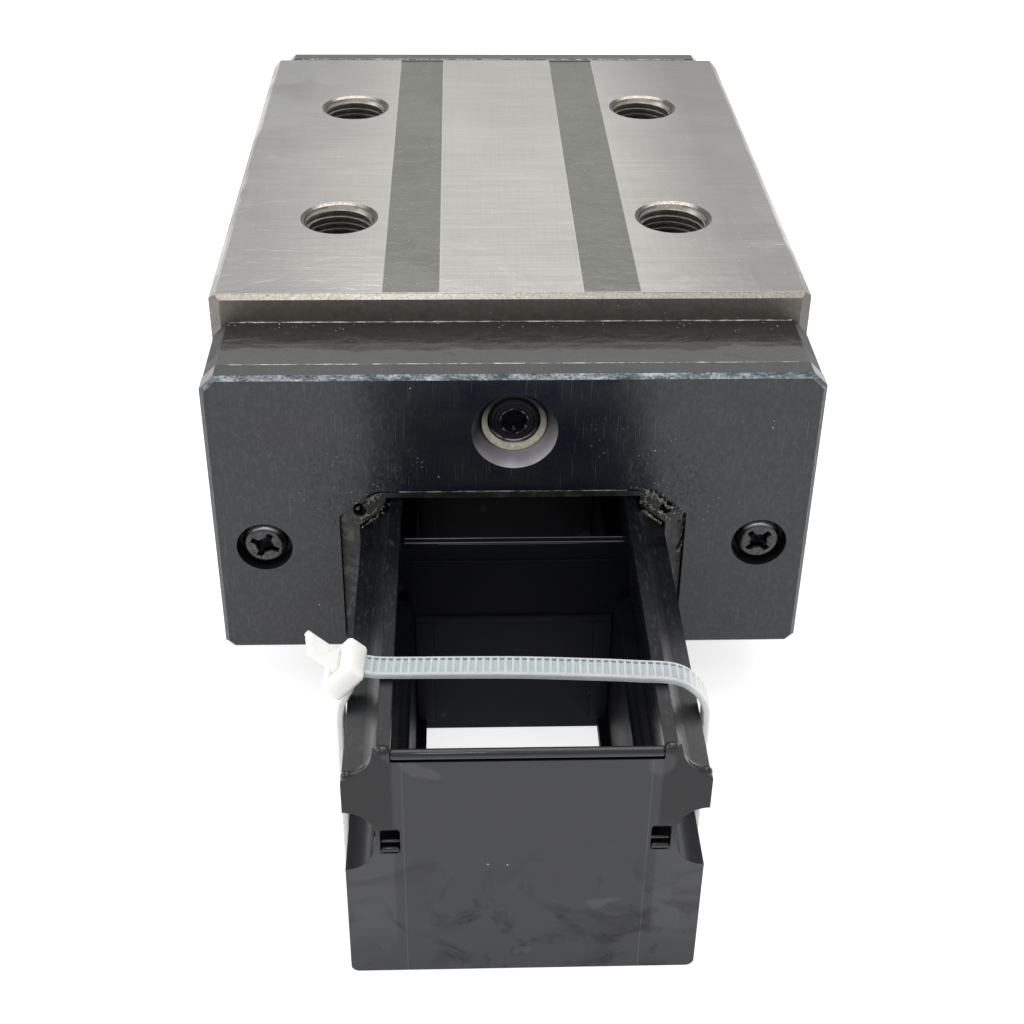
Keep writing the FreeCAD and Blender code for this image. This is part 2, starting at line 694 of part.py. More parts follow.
def circuit_point(travel, straight, radius):
    """Place on a stadium-shaped circuit: its offset from the turns' line, and its place along the rail."""
    turn = math.pi * radius
    travel %= 2 * (straight + turn)
    way = 1
    if travel >= straight + turn:
        travel -= straight + turn
        way = -1
    if travel <= straight:
        return -way * radius, way * (travel - straight / 2)
    angle = (travel - straight) / radius
    return -way * radius * math.cos(angle), way * (straight / 2 + radius * math.sin(angle))


def make_ball_circuit(row, level, hand, side):
    """Closed ring of loose balls, evenly spaced round the loaded row, the turns and the return row."""
    straight = number("Sizes.block_length")
    radius = number(TURN_RADIUS)
    count = round(number("Sizes.balls_in_circuit"))
    pitch = 2 * (straight + math.pi * radius) / count
    balls = []
    for index in range(count):
        offset, along = circuit_point(index * pitch, straight, radius)
        centre = Vector(side * (number(TURN_CENTRE) + offset), along, number(level))
        balls.append(Part.makeSphere(number("Sizes.ball_radius"), centre))
    item = doc.addObject("Part::Feature", "BallCircuit")
    item.Shape = Part.makeCompound(balls)
    finish_part(item, f"ball_circuit_{row}_{hand}")


def make_side_parts(hand, side):
    retainer = new_body("BallRetainer")
    section = new_sketch(retainer, "XZ_Plane")
    draw_outline(section, [
        (f"{side} * Sizes.retainer_inner", "Sizes.retainer_bottom"),
        (f"{side} * Sizes.retainer_outer", "Sizes.retainer_bottom"),
        (f"{side} * Sizes.retainer_outer", "Sizes.retainer_top"),
        (f"{side} * Sizes.retainer_inner", "Sizes.retainer_top"),
    ])
    pad(retainer, section, "Sizes.block_length - 2 * Sizes.retainer_end_gap", symmetric=True)
    soften(retainer, "Fillet", "Sizes.retainer_round", lambda edge: runs_along(edge, "y"))
    finish_part(retainer, f"ball_retainer_{hand}")

    wire = cylinder(f"{side} * Sizes.wire_offset", "-Sizes.wire_half_length", "Sizes.wire_level",
                    "Sizes.wire_radius", "2 * Sizes.wire_half_length")
    finish_part(wire, f"retaining_wire_{hand}")

    seal = new_body("BottomSeal")
    section = new_sketch(seal, "XZ_Plane")
    inner = f"{side} * Sizes.bottom_seal_inner"
    outer = f"{side} * Sizes.bottom_seal_outer"
    lip_end = f"{side} * (Sizes.bottom_seal_inner + Sizes.bottom_seal_lip_width)"
    draw_outline(section, [
        (inner, "Sizes.bottom_seal_bottom - Sizes.bottom_seal_lip_drop"),
        (lip_end, "Sizes.bottom_seal_bottom"),
        (outer, "Sizes.bottom_seal_bottom"),
        (outer, "Sizes.block_bottom"),
        (lip_end, "Sizes.block_bottom"),
    ])
    pad(seal, section, "Sizes.block_length - 2 * Sizes.bottom_seal_end_gap", symmetric=True)
    finish_part(seal, f"bottom_seal_{hand}")


# ---- dummy rail ----


def make_dummy_rail():
    body = new_body("RailBlank")
    profile = new_sketch(body, "XZ_Plane")
    draw_mirrored(profile, [("Sizes.rail_half_width", "0"), ("Sizes.rail_half_width", "Sizes.rail_height")])
    pad(body, profile, "2 * Sizes.rail_half_length", symmetric=True)
    half_width = number("Sizes.rail_half_width")
    soften(body, "Fillet", "Sizes.rail_corner_radius", lambda edge: runs_along(edge, "y")
           and near(edge.CenterOfMass.z, 0) and near(abs(edge.CenterOfMass.x), half_width))
    # ball grooves; the thin lips at both ends are cut less deep than the length between them
    whole = "2 * (Sizes.rail_half_length + Sizes.overcut)"
    between = "2 * (Sizes.rail_half_length - Sizes.end_wall)"
    for side in SIDES.values():
        for level in ROWS.values():
            for radius, length in (("Sizes.end_lip_radius", whole), ("Sizes.groove_radius", between)):
                groove = new_sketch(body, "XZ_Plane")
                draw_circle(groove, f"{side} * Sizes.groove_offset", level, radius)
                pocket(body, groove, length, symmetric=True)
        for radius, length in (("Sizes.end_lip_radius", whole), ("Sizes.groove_radius", between)):
            slope = new_sketch(body, "XZ_Plane")
            draw_groove_slope(slope, side, radius)
            pocket(body, slope, length, symmetric=True)
        relief = new_sketch(body, "XZ_Plane")
        draw_circle(relief, f"{side} * Sizes.groove_offset", "Sizes.lower_relief_level",
                    "Sizes.lower_relief_radius")
        pocket(body, relief, whole, symmetric=True)
        wire_room = new_sketch(body, "XZ_Plane")
        draw_outline(wire_room, [
            (f"{side} * Sizes.slot_inner", "Sizes.slot_bottom"),
            (f"{side} * Sizes.wire_room_outer", "Sizes.slot_bottom"),
            (f"{side} * Sizes.wire_room_outer", "Sizes.wire_room_top"),
            (f"{side} * Sizes.slot_inner", "Sizes.wire_room_top"),
        ])
        pocket(body, wire_room, between, symmetric=True)

    # tops of the end walls and of the cross walls stand lower than the side walls
    top = new_sketch(body, "XZ_Plane")
    draw_mirrored(top, [("Sizes.cell_top_half_width", "Sizes.end_wall_top"),
                        ("Sizes.cell_top_half_width", "Sizes.rail_height + Sizes.overcut")])
    pocket(body, top, whole, symmetric=True)
    ledge = new_sketch(body, "XZ_Plane")
    draw_mirrored(ledge, [("Sizes.cell_top_half_width", "Sizes.cross_wall_top"),
                          ("Sizes.cell_top_half_width", "Sizes.rail_height + Sizes.overcut")])
    pocket(body, ledge, between, symmetric=True)

    cores = []
    wall = "Sizes.cross_wall / 2"
    last = "(Sizes.rail_half_length - Sizes.end_wall)"
    for way in (-1, 1):
        for near_end, far_end in (("0", "Sizes.cell_pitch"), ("Sizes.cell_pitch", "2 * Sizes.cell_pitch"),
                                  ("2 * Sizes.cell_pitch", f"{last} + {wall}")):
            low = f"{near_end} + {wall}"
            length = f"{far_end} - {near_end} - Sizes.cross_wall"
            cores.append(make_cell_core(low, length, way))
    # slots through the end walls
    slots = [block(across, along, "Sizes.slot_bottom", "Sizes.slot_outer - Sizes.slot_inner",
                   "Sizes.end_wall + Sizes.overcut", "Sizes.slot_top - Sizes.slot_bottom")
             for across in ("Sizes.slot_inner", "-Sizes.slot_outer")
             for along in ("-Sizes.rail_half_length - Sizes.overcut", last)]
    notch = block("-Sizes.rail_half_width - Sizes.overcut", "Sizes.tie_centre - Sizes.tie_notch_width / 2",
                  "-Sizes.overcut", "2 * (Sizes.rail_half_width + Sizes.overcut)", "Sizes.tie_notch_width",
                  "Sizes.tie_notch_depth + Sizes.overcut")
    foot = block("-Sizes.cell_lower_half_width", "-Sizes.floor_strip_width / 2", "0",
                 "2 * Sizes.cell_lower_half_width", "Sizes.floor_strip_width", "Sizes.floor_lip")
    rail = joined([cut(body, cores + slots + [notch]), foot])
    finish_part(rail, "dummy_rail")


def make_cell_core(low, length, way):
    """Space inside one cell of the tray: wide above the shoulder, narrower below it, open both ways."""
    core = new_body("CellCore")
    start = low if way < 0 else f"-({low})"
    section = new_sketch(core, "XZ_Plane", start)
    draw_mirrored(section, [
        ("Sizes.floor_window_half_width", "-Sizes.overcut"),
        ("Sizes.floor_window_half_width", "Sizes.floor_lip"),
        ("Sizes.cell_lower_half_width", "Sizes.floor_lip"),
        ("Sizes.cell_lower_half_width", "Sizes.cell_shoulder"),
        ("Sizes.cell_upper_half_width", "Sizes.cell_shoulder"),
        ("Sizes.cell_upper_half_width", "Sizes.cell_strip_bottom"),
        ("Sizes.cell_top_half_width", "Sizes.cell_strip_bottom"),
        ("Sizes.cell_top_half_width", "Sizes.rail_height + Sizes.overcut"),
    ])
    pad(core, section, length, reverse=way > 0)
    shoulder = number("Sizes.cell_shoulder")
    inner = number("Sizes.cell_lower_half_width")
    soften(core, "Fillet", "Sizes.cell_shoulder_round", lambda edge: runs_along(edge, "y")
           and near(edge.CenterOfMass.z, shoulder) and near(abs(edge.CenterOfMass.x), inner))
    return core


# ---- cable tie ----


def draw_tie_contour(sketch, grow):
    """Contour round the rail; grow moves it outwards."""
    side = f"(Sizes.tie_inner_half_width + {grow})"
    top = f"(Sizes.tie_inner_top + {grow})"
    bottom = f"(Sizes.tie_inner_bottom - {grow})"
    draw_mirrored(sketch, [
        (f"{side} - Sizes.tie_foot_bevel - Sizes.tie_bevel_growth * {grow}", bottom),
        (side, f"{bottom} + Sizes.tie_foot_bevel + Sizes.tie_bevel_growth * {grow}"),
        (side, f"Sizes.tie_shoulder_level + Sizes.tie_bevel_growth * {grow}"),
        (f"Sizes.tie_top_flat + Sizes.tie_bevel_growth * {grow}", top),
    ])


def make_cable_tie():
    band = new_body("TieBand")
    outline = new_sketch(band, "XZ_Plane")
    draw_tie_contour(outline, "Sizes.tie_thickness")
    pad(band, outline, "Sizes.tie_width", symmetric=True)
    upper = number("Sizes.tie_shoulder_level") - 1
    soften(band, "Fillet", "Sizes.tie_shoulder_radius + Sizes.tie_thickness", lambda edge:
           runs_along(edge, "y") and edge.CenterOfMass.z > upper)
    hollow = new_body("TieHollow")
    inside = new_sketch(hollow, "XZ_Plane")
    draw_tie_contour(inside, "0")
    pad(hollow, inside, "Sizes.tie_width + 2 * Sizes.overcut", symmetric=True)
    soften(hollow, "Fillet", "Sizes.tie_shoulder_radius", lambda edge:
           runs_along(edge, "y") and edge.CenterOfMass.z > upper)
    lean = FreeCAD.Rotation(Vector(0, 1, 0), number("Sizes.tie_head_angle"))
    head = doc.addObject("Part::Box", "TieHead")
    bind(head, Length="Sizes.tie_head_length", Width="Sizes.tie_head_width", Height="Sizes.tie_head_height")
    # the strap's free end, from the band's shoulder through the head's slot to the cut tip
    tail = doc.addObject("Part::Box", "TieTail")
    bind(tail, Length="Sizes.tie_tail_length + Sizes.tie_head_length / 2 + Sizes.tie_slot_reach",
         Width="Sizes.tie_width", Height="Sizes.tie_thickness")
    centre = Vector(number("Sizes.tie_head_across"), 0, number("Sizes.tie_head_level"))
    head_corner = Vector(-number("Sizes.tie_head_length") / 2, -number("Sizes.tie_head_width") / 2,
                         -number("Sizes.tie_head_height") / 2)
    head.Placement = FreeCAD.Placement(centre + lean.multVec(head_corner), lean)
    tail_corner = Vector(-number("Sizes.tie_tail_length + Sizes.tie_head_length / 2"),
                         -number("Sizes.tie_width") / 2, -number("Sizes.tie_thickness") / 2)
    tail.Placement = FreeCAD.Placement(centre + lean.multVec(tail_corner), lean)
    # the strap's other end, which runs on from its top into the head
    root = block("Sizes.tie_head_across", "-Sizes.tie_width / 2", "Sizes.tie_inner_top",
                 "-Sizes.tie_head_across - Sizes.tie_top_flat", "Sizes.tie_width", "Sizes.tie_thickness")
    tie = cut(joined([band, root, head, tail]), [hollow])
    tie.Placement = FreeCAD.Placement(Vector(0, number("Sizes.tie_centre"), 0),
                                      FreeCAD.Rotation(Vector(0, 0, 1), number("Sizes.tie_yaw")))
    finish_part(tie, "cable_tie")


def check_and_export():
    """Stops on any failed object or bad solid, then writes one file for each sub-part."""
    doc.recompute()
    for item in doc.Objects:
        if "Invalid" in item.State or "Error" in item.State:
            raise RuntimeError(f"{item.Label} failed: {item.State}")
    os.makedirs("parts", exist_ok=True)
    for item in sub_parts:
        if item.Shape.isNull() or not item.Shape.isValid():
            raise RuntimeError(f"{item.Label} has no valid shape")
    for item in sub_parts:
        box = item.Shape.BoundBox
        print(f"{item.Label}: {len(item.Shape.Solids)} solids, {item.Shape.Volume:.0f} mm3, "
              f"x {box.XMin:.1f} {box.XMax:.1f}, y {box.YMin:.1f} {box.YMax:.1f}, "
              f"z {box.ZMin:.1f} {box.ZMax:.1f}")
        item.Shape.exportStep(f"parts/{item.Label}.step")


make_slide_body()
for end_name, end_turn in ENDS.items():
    make_end_cap(end_name, end_turn)
    make_return_guides(end_name, end_turn)
    make_end_plate(end_name, end_turn)
    make_grease_port(end_name, end_turn)
    make_end_seal(end_name, end_turn)
    make_end_screws(end_name, end_turn)
for hand_name, hand_side in SIDES.items():
    for row_name, row_level in ROWS.items():
        make_ball_circuit(row_name, row_level, hand_name, hand_side)
    make_side_parts(hand_name, hand_side)
make_dummy_rail()
make_cable_tie()
check_and_export()
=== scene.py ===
import json
import math
import random
import bmesh
import bpy
from mathutils import Matrix, Vector, noise


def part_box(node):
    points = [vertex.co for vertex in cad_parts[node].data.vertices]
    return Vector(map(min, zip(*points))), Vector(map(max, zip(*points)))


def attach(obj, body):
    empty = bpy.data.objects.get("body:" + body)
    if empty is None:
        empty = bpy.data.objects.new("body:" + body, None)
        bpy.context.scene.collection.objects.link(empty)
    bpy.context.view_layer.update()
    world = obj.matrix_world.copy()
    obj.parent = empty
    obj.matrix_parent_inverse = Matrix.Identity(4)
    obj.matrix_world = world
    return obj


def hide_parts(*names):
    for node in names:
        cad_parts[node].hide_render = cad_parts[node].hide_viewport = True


# A size 65 ball guide carriage on its dummy rail, with the cable tie that keeps it there.
# Sizes are in millimetres and MM turns them into metres.

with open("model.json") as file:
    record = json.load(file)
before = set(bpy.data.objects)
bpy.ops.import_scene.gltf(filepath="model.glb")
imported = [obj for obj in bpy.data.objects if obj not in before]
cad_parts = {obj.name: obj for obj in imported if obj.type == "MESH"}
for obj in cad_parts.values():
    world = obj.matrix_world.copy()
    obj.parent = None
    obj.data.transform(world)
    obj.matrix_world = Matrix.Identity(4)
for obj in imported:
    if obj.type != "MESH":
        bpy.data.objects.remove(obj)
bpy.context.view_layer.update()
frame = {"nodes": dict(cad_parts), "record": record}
nodes = frame["nodes"]
mounts = {mount["name"]: mount for mount in frame["record"]["mounts"]}
MM = 0.001


def box_mm(node):
    """Lowest and highest corners of a CAD node, in millimetres."""
    return [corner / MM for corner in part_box(node)]


block_high = box_mm("slide_body")[1]
plate_low, plate_high = box_mm("end_plate_front")
rail_low, rail_high = box_mm("dummy_rail")
bolts = mounts["mounting_bolts"]["dims"]
BOLT_PLACES = [(side * bolts["spacing_x_mm"] / 2, way * bolts["spacing_y_mm"] / 2)
               for side in (-1, 1) for way in (-1, 1)]
TOP = block_high.z
STRIP_MIDDLE = 21.0
STRIP_HALF_WIDTH = 6.0
STRIP_DEPTH = 0.25
PLATE_FACE = -plate_low.y
OPENING_CORNER = (33.0, PLATE_FACE, 58.0)
SCREW_RADIUS = 4.75
screw_low, screw_high = box_mm("end_screws_front")
SCREW_OFFSET = screw_high.x - SCREW_RADIUS
SCREW_LEVEL = (screw_low.z + screw_high.z) / 2
PORT_LEVEL = sum(corner.z for corner in box_mm("grease_plug_front")) / 2
PLATE_BACK = PLATE_FACE - (plate_high.y - plate_low.y)
CAP_TOP = box_mm("end_cap_front")[1].z


# ---- materials ----


class Finish:
    """Node-based material. Its patterns are laid out in millimetres of the object."""

    def __init__(self, name, edge_round=0):
        self.material = bpy.data.materials.new(name)
        self.material.use_nodes = True
        self.tree = self.material.node_tree
        self.shader = self.tree.nodes["Principled BSDF"]
        coordinates = self.add("ShaderNodeTexCoord")
        self.place = self.vector("SCALE", coordinates.outputs["Object"], scale=1 / MM)
        self.normal = self.add("ShaderNodeNewGeometry").outputs["True Normal"]
        self.under = self.colour = None
        if edge_round:
            self.under = self.add("ShaderNodeBevel", {"Radius": edge_round * MM}, samples=4).outputs[0]

    def add(self, kind, inputs=None, **settings):
        """New node, with values or links for its inputs."""
        node = self.tree.nodes.new(kind)
        for name, value in settings.items():
            setattr(node, name, value)
        for name, value in (inputs or {}).items():
            if value is not None:
                self.feed(node.inputs[name], value)
        return node

    def feed(self, socket, value):
        """Links an output to a socket, or sets the socket to a plain value."""
        if isinstance(value, bpy.types.NodeSocket):
            self.tree.links.new(value, socket)
        elif socket.type == "RGBA" and isinstance(value, tuple):
            socket.default_value = (*value, 1)
        else:
            socket.default_value = value

    def set(self, **inputs):
        inputs.setdefault("Base_Color", self.colour)
        for name, value in inputs.items():
            self.feed(self.shader.inputs[name.replace("_", " ")], value)
        return self

    def vector(self, operation, first, second=None, scale=None):
        inputs = {0: first, 1: second, "Scale": scale}
        node = self.add("ShaderNodeVectorMath", inputs, operation=operation)
        return node.outputs["Value"] if operation == "LENGTH" else node.outputs[0]

    def math(self, operation, *values):
        return self.add("ShaderNodeMath", dict(enumerate(values)), operation=operation).outputs[0]

    def times(self, first, *others):
        for other in others:
            first = self.math("MULTIPLY", first, other)
        return first

    def plus(self, first, second):
        return self.math("ADD", first, second)

    def apart(self, value):
        """How far a value is from zero."""
        return self.math("ABSOLUTE", value)

    def parts(self, vector=None):
        return self.add("ShaderNodeSeparateXYZ", {0: self.place if vector is None else vector}).outputs

    def from_axis(self, across, up):
        """Distance from an axis along Y, or from the nearer of a mirrored pair of them."""
        place = self.vector("ABSOLUTE", self.place) if across else self.place
        place = self.vector("SUBTRACT", place, (across, 0, up))
        return self.vector("LENGTH", self.vector("MULTIPLY", place, (1, 0, 1)))

    def window(self, value, low, high, new_low=0.0, new_high=1.0):
        """Stretches a pattern so that low becomes new_low and high becomes new_high, and holds it."""
        inputs = {"Value": value, "From Min": low, "From Max": high,
                  "To Min": new_low, "To Max": new_high}
        return self.add("ShaderNodeMapRange", inputs, clamp=True).outputs["Result"]

    def noise(self, size, detail=3, rough=0.5, stretch=(1, 1, 1), warp=0, shift=0):
        """Cloudy pattern with features of about that size, longer along an axis by its stretch."""
        place = self.vector("DIVIDE", self.vector("ADD", self.place, (shift, shift, shift)), stretch)
        inputs = {"Vector": place, "Scale": 1 / size, "Detail": detail,
                  "Roughness": rough, "Distortion": warp}
        return self.add("ShaderNodeTexNoise", inputs).outputs["Fac"]

    def specks(self, spacing, size, share):
        """Round specks on a share of the places of a loose grid."""
        node = self.add("ShaderNodeTexVoronoi", {"Vector": self.place, "Scale": 1 / spacing})
        dot = self.window(node.outputs["Distance"], size / spacing, 0.6 * size / spacing)
        chosen = self.math("LESS_THAN", self.parts(node.outputs["Color"])[0], share)
        return self.times(dot, chosen)

    def hairlines(self, size, length, angle, share):
        """Fine crosswise scratches over a share of the surface; the angle picks other ones."""
        inputs = {"Vector": self.place, "Rotation": (angle, angle, angle),
                  "Scale": (1 / length, 1 / size, 1 / length)}
        place = self.add("ShaderNodeMapping", inputs).outputs[0]
        lines = self.add("ShaderNodeTexNoise", {"Vector": place, "Scale": 1, "Detail": 1})
        edge = 0.78 - 0.2 * share
        return self.window(lines.outputs["Fac"], edge, edge + 0.03)

    def blend(self, share, first, second):
        """Colour between first and second."""
        return self.add("ShaderNodeMix", {0: share, 6: first, 7: second}, data_type="RGBA").outputs[2]

    def paint(self, share, tone, strength=None):
        """Covers the colour so far with a tone, over a share of the surface."""
        if strength is not None:
            share = self.times(share, strength)
        self.colour = self.blend(share, self.colour, tone)

    def mix(self, share, first, second):
        """Number between first and second."""
        return self.add("ShaderNodeMix", {0: share, 2: first, 3: second}, data_type="FLOAT").outputs[0]

    def relief(self, *layers):
        """Bumps on top of one another, each of a depth in millimetres."""
        normal = self.under
        for height, depth in layers:
            inputs = {"Distance": depth * MM, "Height": height, "Normal": normal}
            normal = self.add("ShaderNodeBump", inputs).outputs["Normal"]
        return normal

    def near(self, value, middle, half_width, soft=0.05):
        """1 where a value is within half_width of middle."""
        distance = self.apart(self.math("SUBTRACT", value, middle))
        return self.window(distance, half_width + soft, half_width - soft)


def ground_steel():
    """Ground steel: fine lines and oil on top, dull strips, coarse end faces, bright threads."""
    f = Finish("ground_steel", edge_round=0.12)
    x, y, z = f.parts()
    across, along, up = [f.apart(part) for part in f.parts(f.normal)]
    off_middle = f.apart(x)
    flat = f.window(up, 0.95, 0.98)
    end_face = f.window(along, 0.95, 0.98)
    level = f.near(z, TOP, 0.1, 0.02)
    strip = f.times(flat, f.near(off_middle, STRIP_MIDDLE, STRIP_HALF_WIDTH + 0.1))
    strip = f.times(strip, f.near(z, TOP - STRIP_DEPTH, 0.12, 0.02))

    crosswise = f.noise(0.16, 2, 0.6, stretch=(90, 1, 1))
    wide_lines = f.noise(0.7, 2, 0.6, stretch=(45, 1, 1), shift=40)
    lengthwise = f.noise(0.22, 2, 0.6, stretch=(1, 120, 1), shift=90)
    cloud = f.noise(28, 3, 0.5, shift=15)
    tone = f.plus(f.times(crosswise, 0.5), f.times(wide_lines, 0.3))
    tone = f.plus(tone, f.times(lengthwise, 0.2))
    ground = f.blend(f.window(tone, 0.3, 0.7), (0.44, 0.435, 0.40), (0.66, 0.65, 0.605))
    ground = f.blend(f.window(cloud, 0.35, 0.7, 0, 0.35), ground, (0.40, 0.395, 0.38))
    # painted shade: the top darkens towards its sides and its rear
    shade = f.plus(f.window(x, -27, -55, 0, 0.55), f.window(x, 27, 50, 0, 0.62))
    shade = f.plus(shade, f.window(y, 10, 65, 0, 0.20))
    ground = f.blend(f.times(shade, up), ground, (0.20, 0.197, 0.19))
    dull = f.blend(f.noise(5, 4, 0.6), (0.175, 0.175, 0.156), (0.245, 0.245, 0.22))
    dull = f.blend(f.window(f.noise(0.5, 2), 0.3, 0.7, 0, 0.35), dull, (0.15, 0.147, 0.136))
    rough_end = f.blend(f.noise(1.2, 4, 0.7), (0.095, 0.086, 0.078), (0.26, 0.235, 0.205))
    # painted shade: the colour of bevels and bore walls that face sideways
    shaded_bevel = f.blend(f.noise(0.7, 4, 0.7), (0.06, 0.055, 0.05), (0.17, 0.155, 0.135))
    chamfer = f.window(f.noise(0.5, 3, 0.7), 0.35, 0.7)
    chamfer = f.blend(chamfer, (0.26, 0.235, 0.21), (0.50, 0.455, 0.41))
    # everything that is neither level ground nor an end face is a bevel, a bore or the channel; painted
    # shade darkens those that face sideways
    f.colour = f.blend(flat, f.blend(f.window(across, 0.3, 0.4), chamfer, shaded_bevel), ground)
    f.paint(f.window(across, 0.95, 0.98, 0, 0.8), ground)
    in_bore = f.times(f.window(z, TOP - 0.55, TOP - 1.2), f.window(z, 66, 68),
                      f.window(off_middle, block_high.x - 0.2, block_high.x - 0.4),
                      f.window(f.apart(y), 62, 60))
    thread = f.blend(f.noise(0.8, 3, 0.7, stretch=(2, 2, 1)), (0.22, 0.20, 0.18), (0.52, 0.49, 0.46))
    f.paint(f.times(in_bore, f.window(along, 0.98, 0.95)), thread)
    f.paint(end_face, rough_end)
    f.paint(strip, dull)
    # painted highlight: bright hairlines along the strips' edges
    strip_edge_highlight = f.near(f.apart(f.math("SUBTRACT", off_middle, STRIP_MIDDLE)), STRIP_HALF_WIDTH, 0.10)
    f.paint(f.times(strip_edge_highlight, flat), (0.80, 0.79, 0.75), 0.6)
    f.paint(f.specks(1.1, 0.16, 0.10), (0.90, 0.86, 0.80), 0.6)
    f.paint(f.specks(3.1, 0.16, 0.06), (0.10, 0.09, 0.08), 0.7)

    rough = f.mix(strip, f.window(tone, 0.3, 0.7, 0.30, 0.40), 0.46)
    rough = f.mix(end_face, rough, 0.5)
    oil = f.window(f.noise(26, 4, 0.6, warp=0.6, shift=7), 0.44, 0.56)
    edge_oil = f.math("MAXIMUM", f.window(x, -36, -54), f.window(y, -44, -66))
    edge_oil = f.math("MAXIMUM", edge_oil, f.times(f.window(x, 30, 52), f.window(y, -10, -40)))
    oil = f.times(oil, f.mix(edge_oil, 0.30, 1.0))
    ripples = f.noise(3.4, 3, 0.55, stretch=(1.7, 1, 1), warp=1.2, shift=3)
    normal = f.relief((tone, 0.016), (f.noise(1.6, 3, 0.6), 0.03),
                      (f.times(ripples, oil, level), 0.24), (f.times(ripples, strip), 0.30))
    return f.set(Metallic=1.0, Roughness=rough, Normal=normal, Coat_Weight=f.times(oil, 0.5),
                 Coat_Roughness=0.08, Coat_Normal=f.relief((ripples, 0.20)))


def cap_plastic():
    """Moulded black plastic under a film of oil, with a painted sheen band and painted glints on its
    top.
    """
    f = Finish("cap_plastic", edge_round=0.25)
    beyond = f.apart(f.parts()[1])
    sideways, _, up = f.parts(f.normal)
    sideways = f.window(f.apart(sideways), 0.3, 0.5)
    upwards = f.window(up, 0.2, 0.7)
    film = f.noise(4.5, 2, 0.45, stretch=(1.8, 1, 1), warp=0.9)
    mottle = f.noise(1.3, 4, 0.65)
    f.colour = f.blend(mottle, (0.014, 0.013, 0.014), (0.026, 0.025, 0.025))
    # painted sheen: a lighter band with a wavy edge on the upward faces of the cap's outer part
    wave = f.plus(beyond, f.times(f.noise(9, 3, 0.5, shift=4), 7))
    f.paint(f.times(f.window(wave, 88.6, 89.2), upwards), (0.055, 0.055, 0.054))
    joint = f.window(beyond, 79.0, 74.5)
    # painted glints: pale specks on upward faces, more of them near the joint
    painted_glints = f.times(f.specks(0.7, 0.17, 0.17), f.window(f.noise(9, 2, shift=5), 0.45, 0.6),
                      f.mix(joint, 0.12, 1.0), upwards)
    f.paint(painted_glints, (0.75, 0.68, 0.48))
    rough = f.mix(sideways, f.window(mottle, 0.3, 0.7, 0.17, 0.30), 0.55)
    normal = f.relief((film, 0.34), (f.noise(1.4, 3, 0.6, warp=0.8), 0.06))
    return f.set(Roughness=rough, Normal=normal, IOR=1.4, Coat_Weight=f.mix(sideways, 0.35, 0.0),
                 Coat_Roughness=0.05)


def plate_black():
    """Satin black plate with brush lines, a burred bevel with painted highlight streaks, smears of
    grease, painted light on its top and painted shade in its screw pockets.
    """
    f = Finish("plate_black")
    x, y, z = f.parts()
    _, along, up = [f.apart(part) for part in f.parts(f.normal)]
    brush = f.noise(0.14, 2, 0.6, stretch=(70, 1, 1))
    mottle = f.noise(7, 4, 0.6, warp=0.4)
    f.colour = f.blend(mottle, (0.003, 0.0045, 0.0085), (0.010, 0.0125, 0.019))
    # painted light: upward faces near the plate's top are lighter
    f.paint(f.times(f.window(up, 0.8, 0.95), f.window(z, 80, 83)), (0.042, 0.043, 0.043))
    f.paint(f.window(f.noise(22, 2, shift=9), 0.45, 0.75, 0, 0.5), (0.008, 0.013, 0.012))
    f.paint(f.window(f.noise(16, 2, shift=31), 0.50, 0.75, 0, 0.4), (0.013, 0.008, 0.013))
    grain = f.window(f.noise(0.9, 4, 0.75, stretch=(1, 1, 1.6)), 0.46, 0.66, 0, 0.5)
    grain = f.times(grain, f.window(f.apart(x), 14, 30))
    f.paint(grain, (0.040, 0.041, 0.044))
    # the top bevel: partly bare burred metal, partly painted highlight in bright streaks, most where it
    # faces up
    bevel = f.times(f.near(along, 0.7071, 0.1), f.window(f.noise(0.5, 4, 0.75), 0.36, 0.50))
    streak = f.window(f.noise(1.6, 4, 0.75, stretch=(3, 1, 1)), 0.40, 0.66)
    burr_and_highlight = f.blend(streak, (0.05, 0.06, 0.07), (0.50, 0.57, 0.62))
    bevel = f.times(bevel, f.math("MAXIMUM", f.window(z, 76, 80), f.window(f.apart(x), 58, 60)))
    f.paint(f.times(bevel, f.mix(f.window(up, 0.3, 0.6), 0.06, 0.85)), burr_and_highlight)
    scratch = f.window(f.noise(0.12, 1, stretch=(1, 1, 80)), 0.70, 0.74)
    f.paint(scratch, (0.30, 0.31, 0.33), 0.16)
    # painted shade: the screw pockets' walls are near black
    pocket = f.times(f.window(f.from_axis(SCREW_OFFSET, SCREW_LEVEL), 6.5, 6.3),
                     f.window(f.apart(y), PLATE_FACE - 0.05, PLATE_FACE - 0.3))
    f.paint(pocket, (0.0008, 0.0008, 0.001))
    f.paint(f.specks(2.6, 0.15, 0.07), (0.70, 0.70, 0.68), 0.8)
    # smears of grease round the opening's upper corners
    corner = f.vector("LENGTH", f.vector("SUBTRACT", f.vector("ABSOLUTE", f.place), OPENING_CORNER))
    patch = f.window(f.noise(6, 2, shift=17), 0.50, 0.60)
    smear = f.times(f.window(corner, 13, 3), f.window(f.noise(1.1, 4, 0.7, warp=0.5), 0.54, 0.62))
    drops = f.times(f.specks(0.9, 0.22, 0.30), f.window(corner, 26, 8), patch)
    f.paint(drops, (0.30, 0.28, 0.22), 0.5)
    rough = f.mix(smear, f.window(mottle, 0.3, 0.7, 0.19, 0.27), 0.10)
    rough = f.mix(pocket, rough, 0.6)
    normal = f.relief((brush, 0.007), (f.noise(9, 2), 0.10), (f.noise(0.9, 4, 0.7), 0.022),
                      (f.times(smear, f.noise(0.8, 3, 0.6)), 0.12), (drops, 0.06),
                      (f.times(bevel, f.noise(0.3, 3, 0.7)), 0.12))
    return f.set(Roughness=rough, Normal=normal, IOR=1.5)


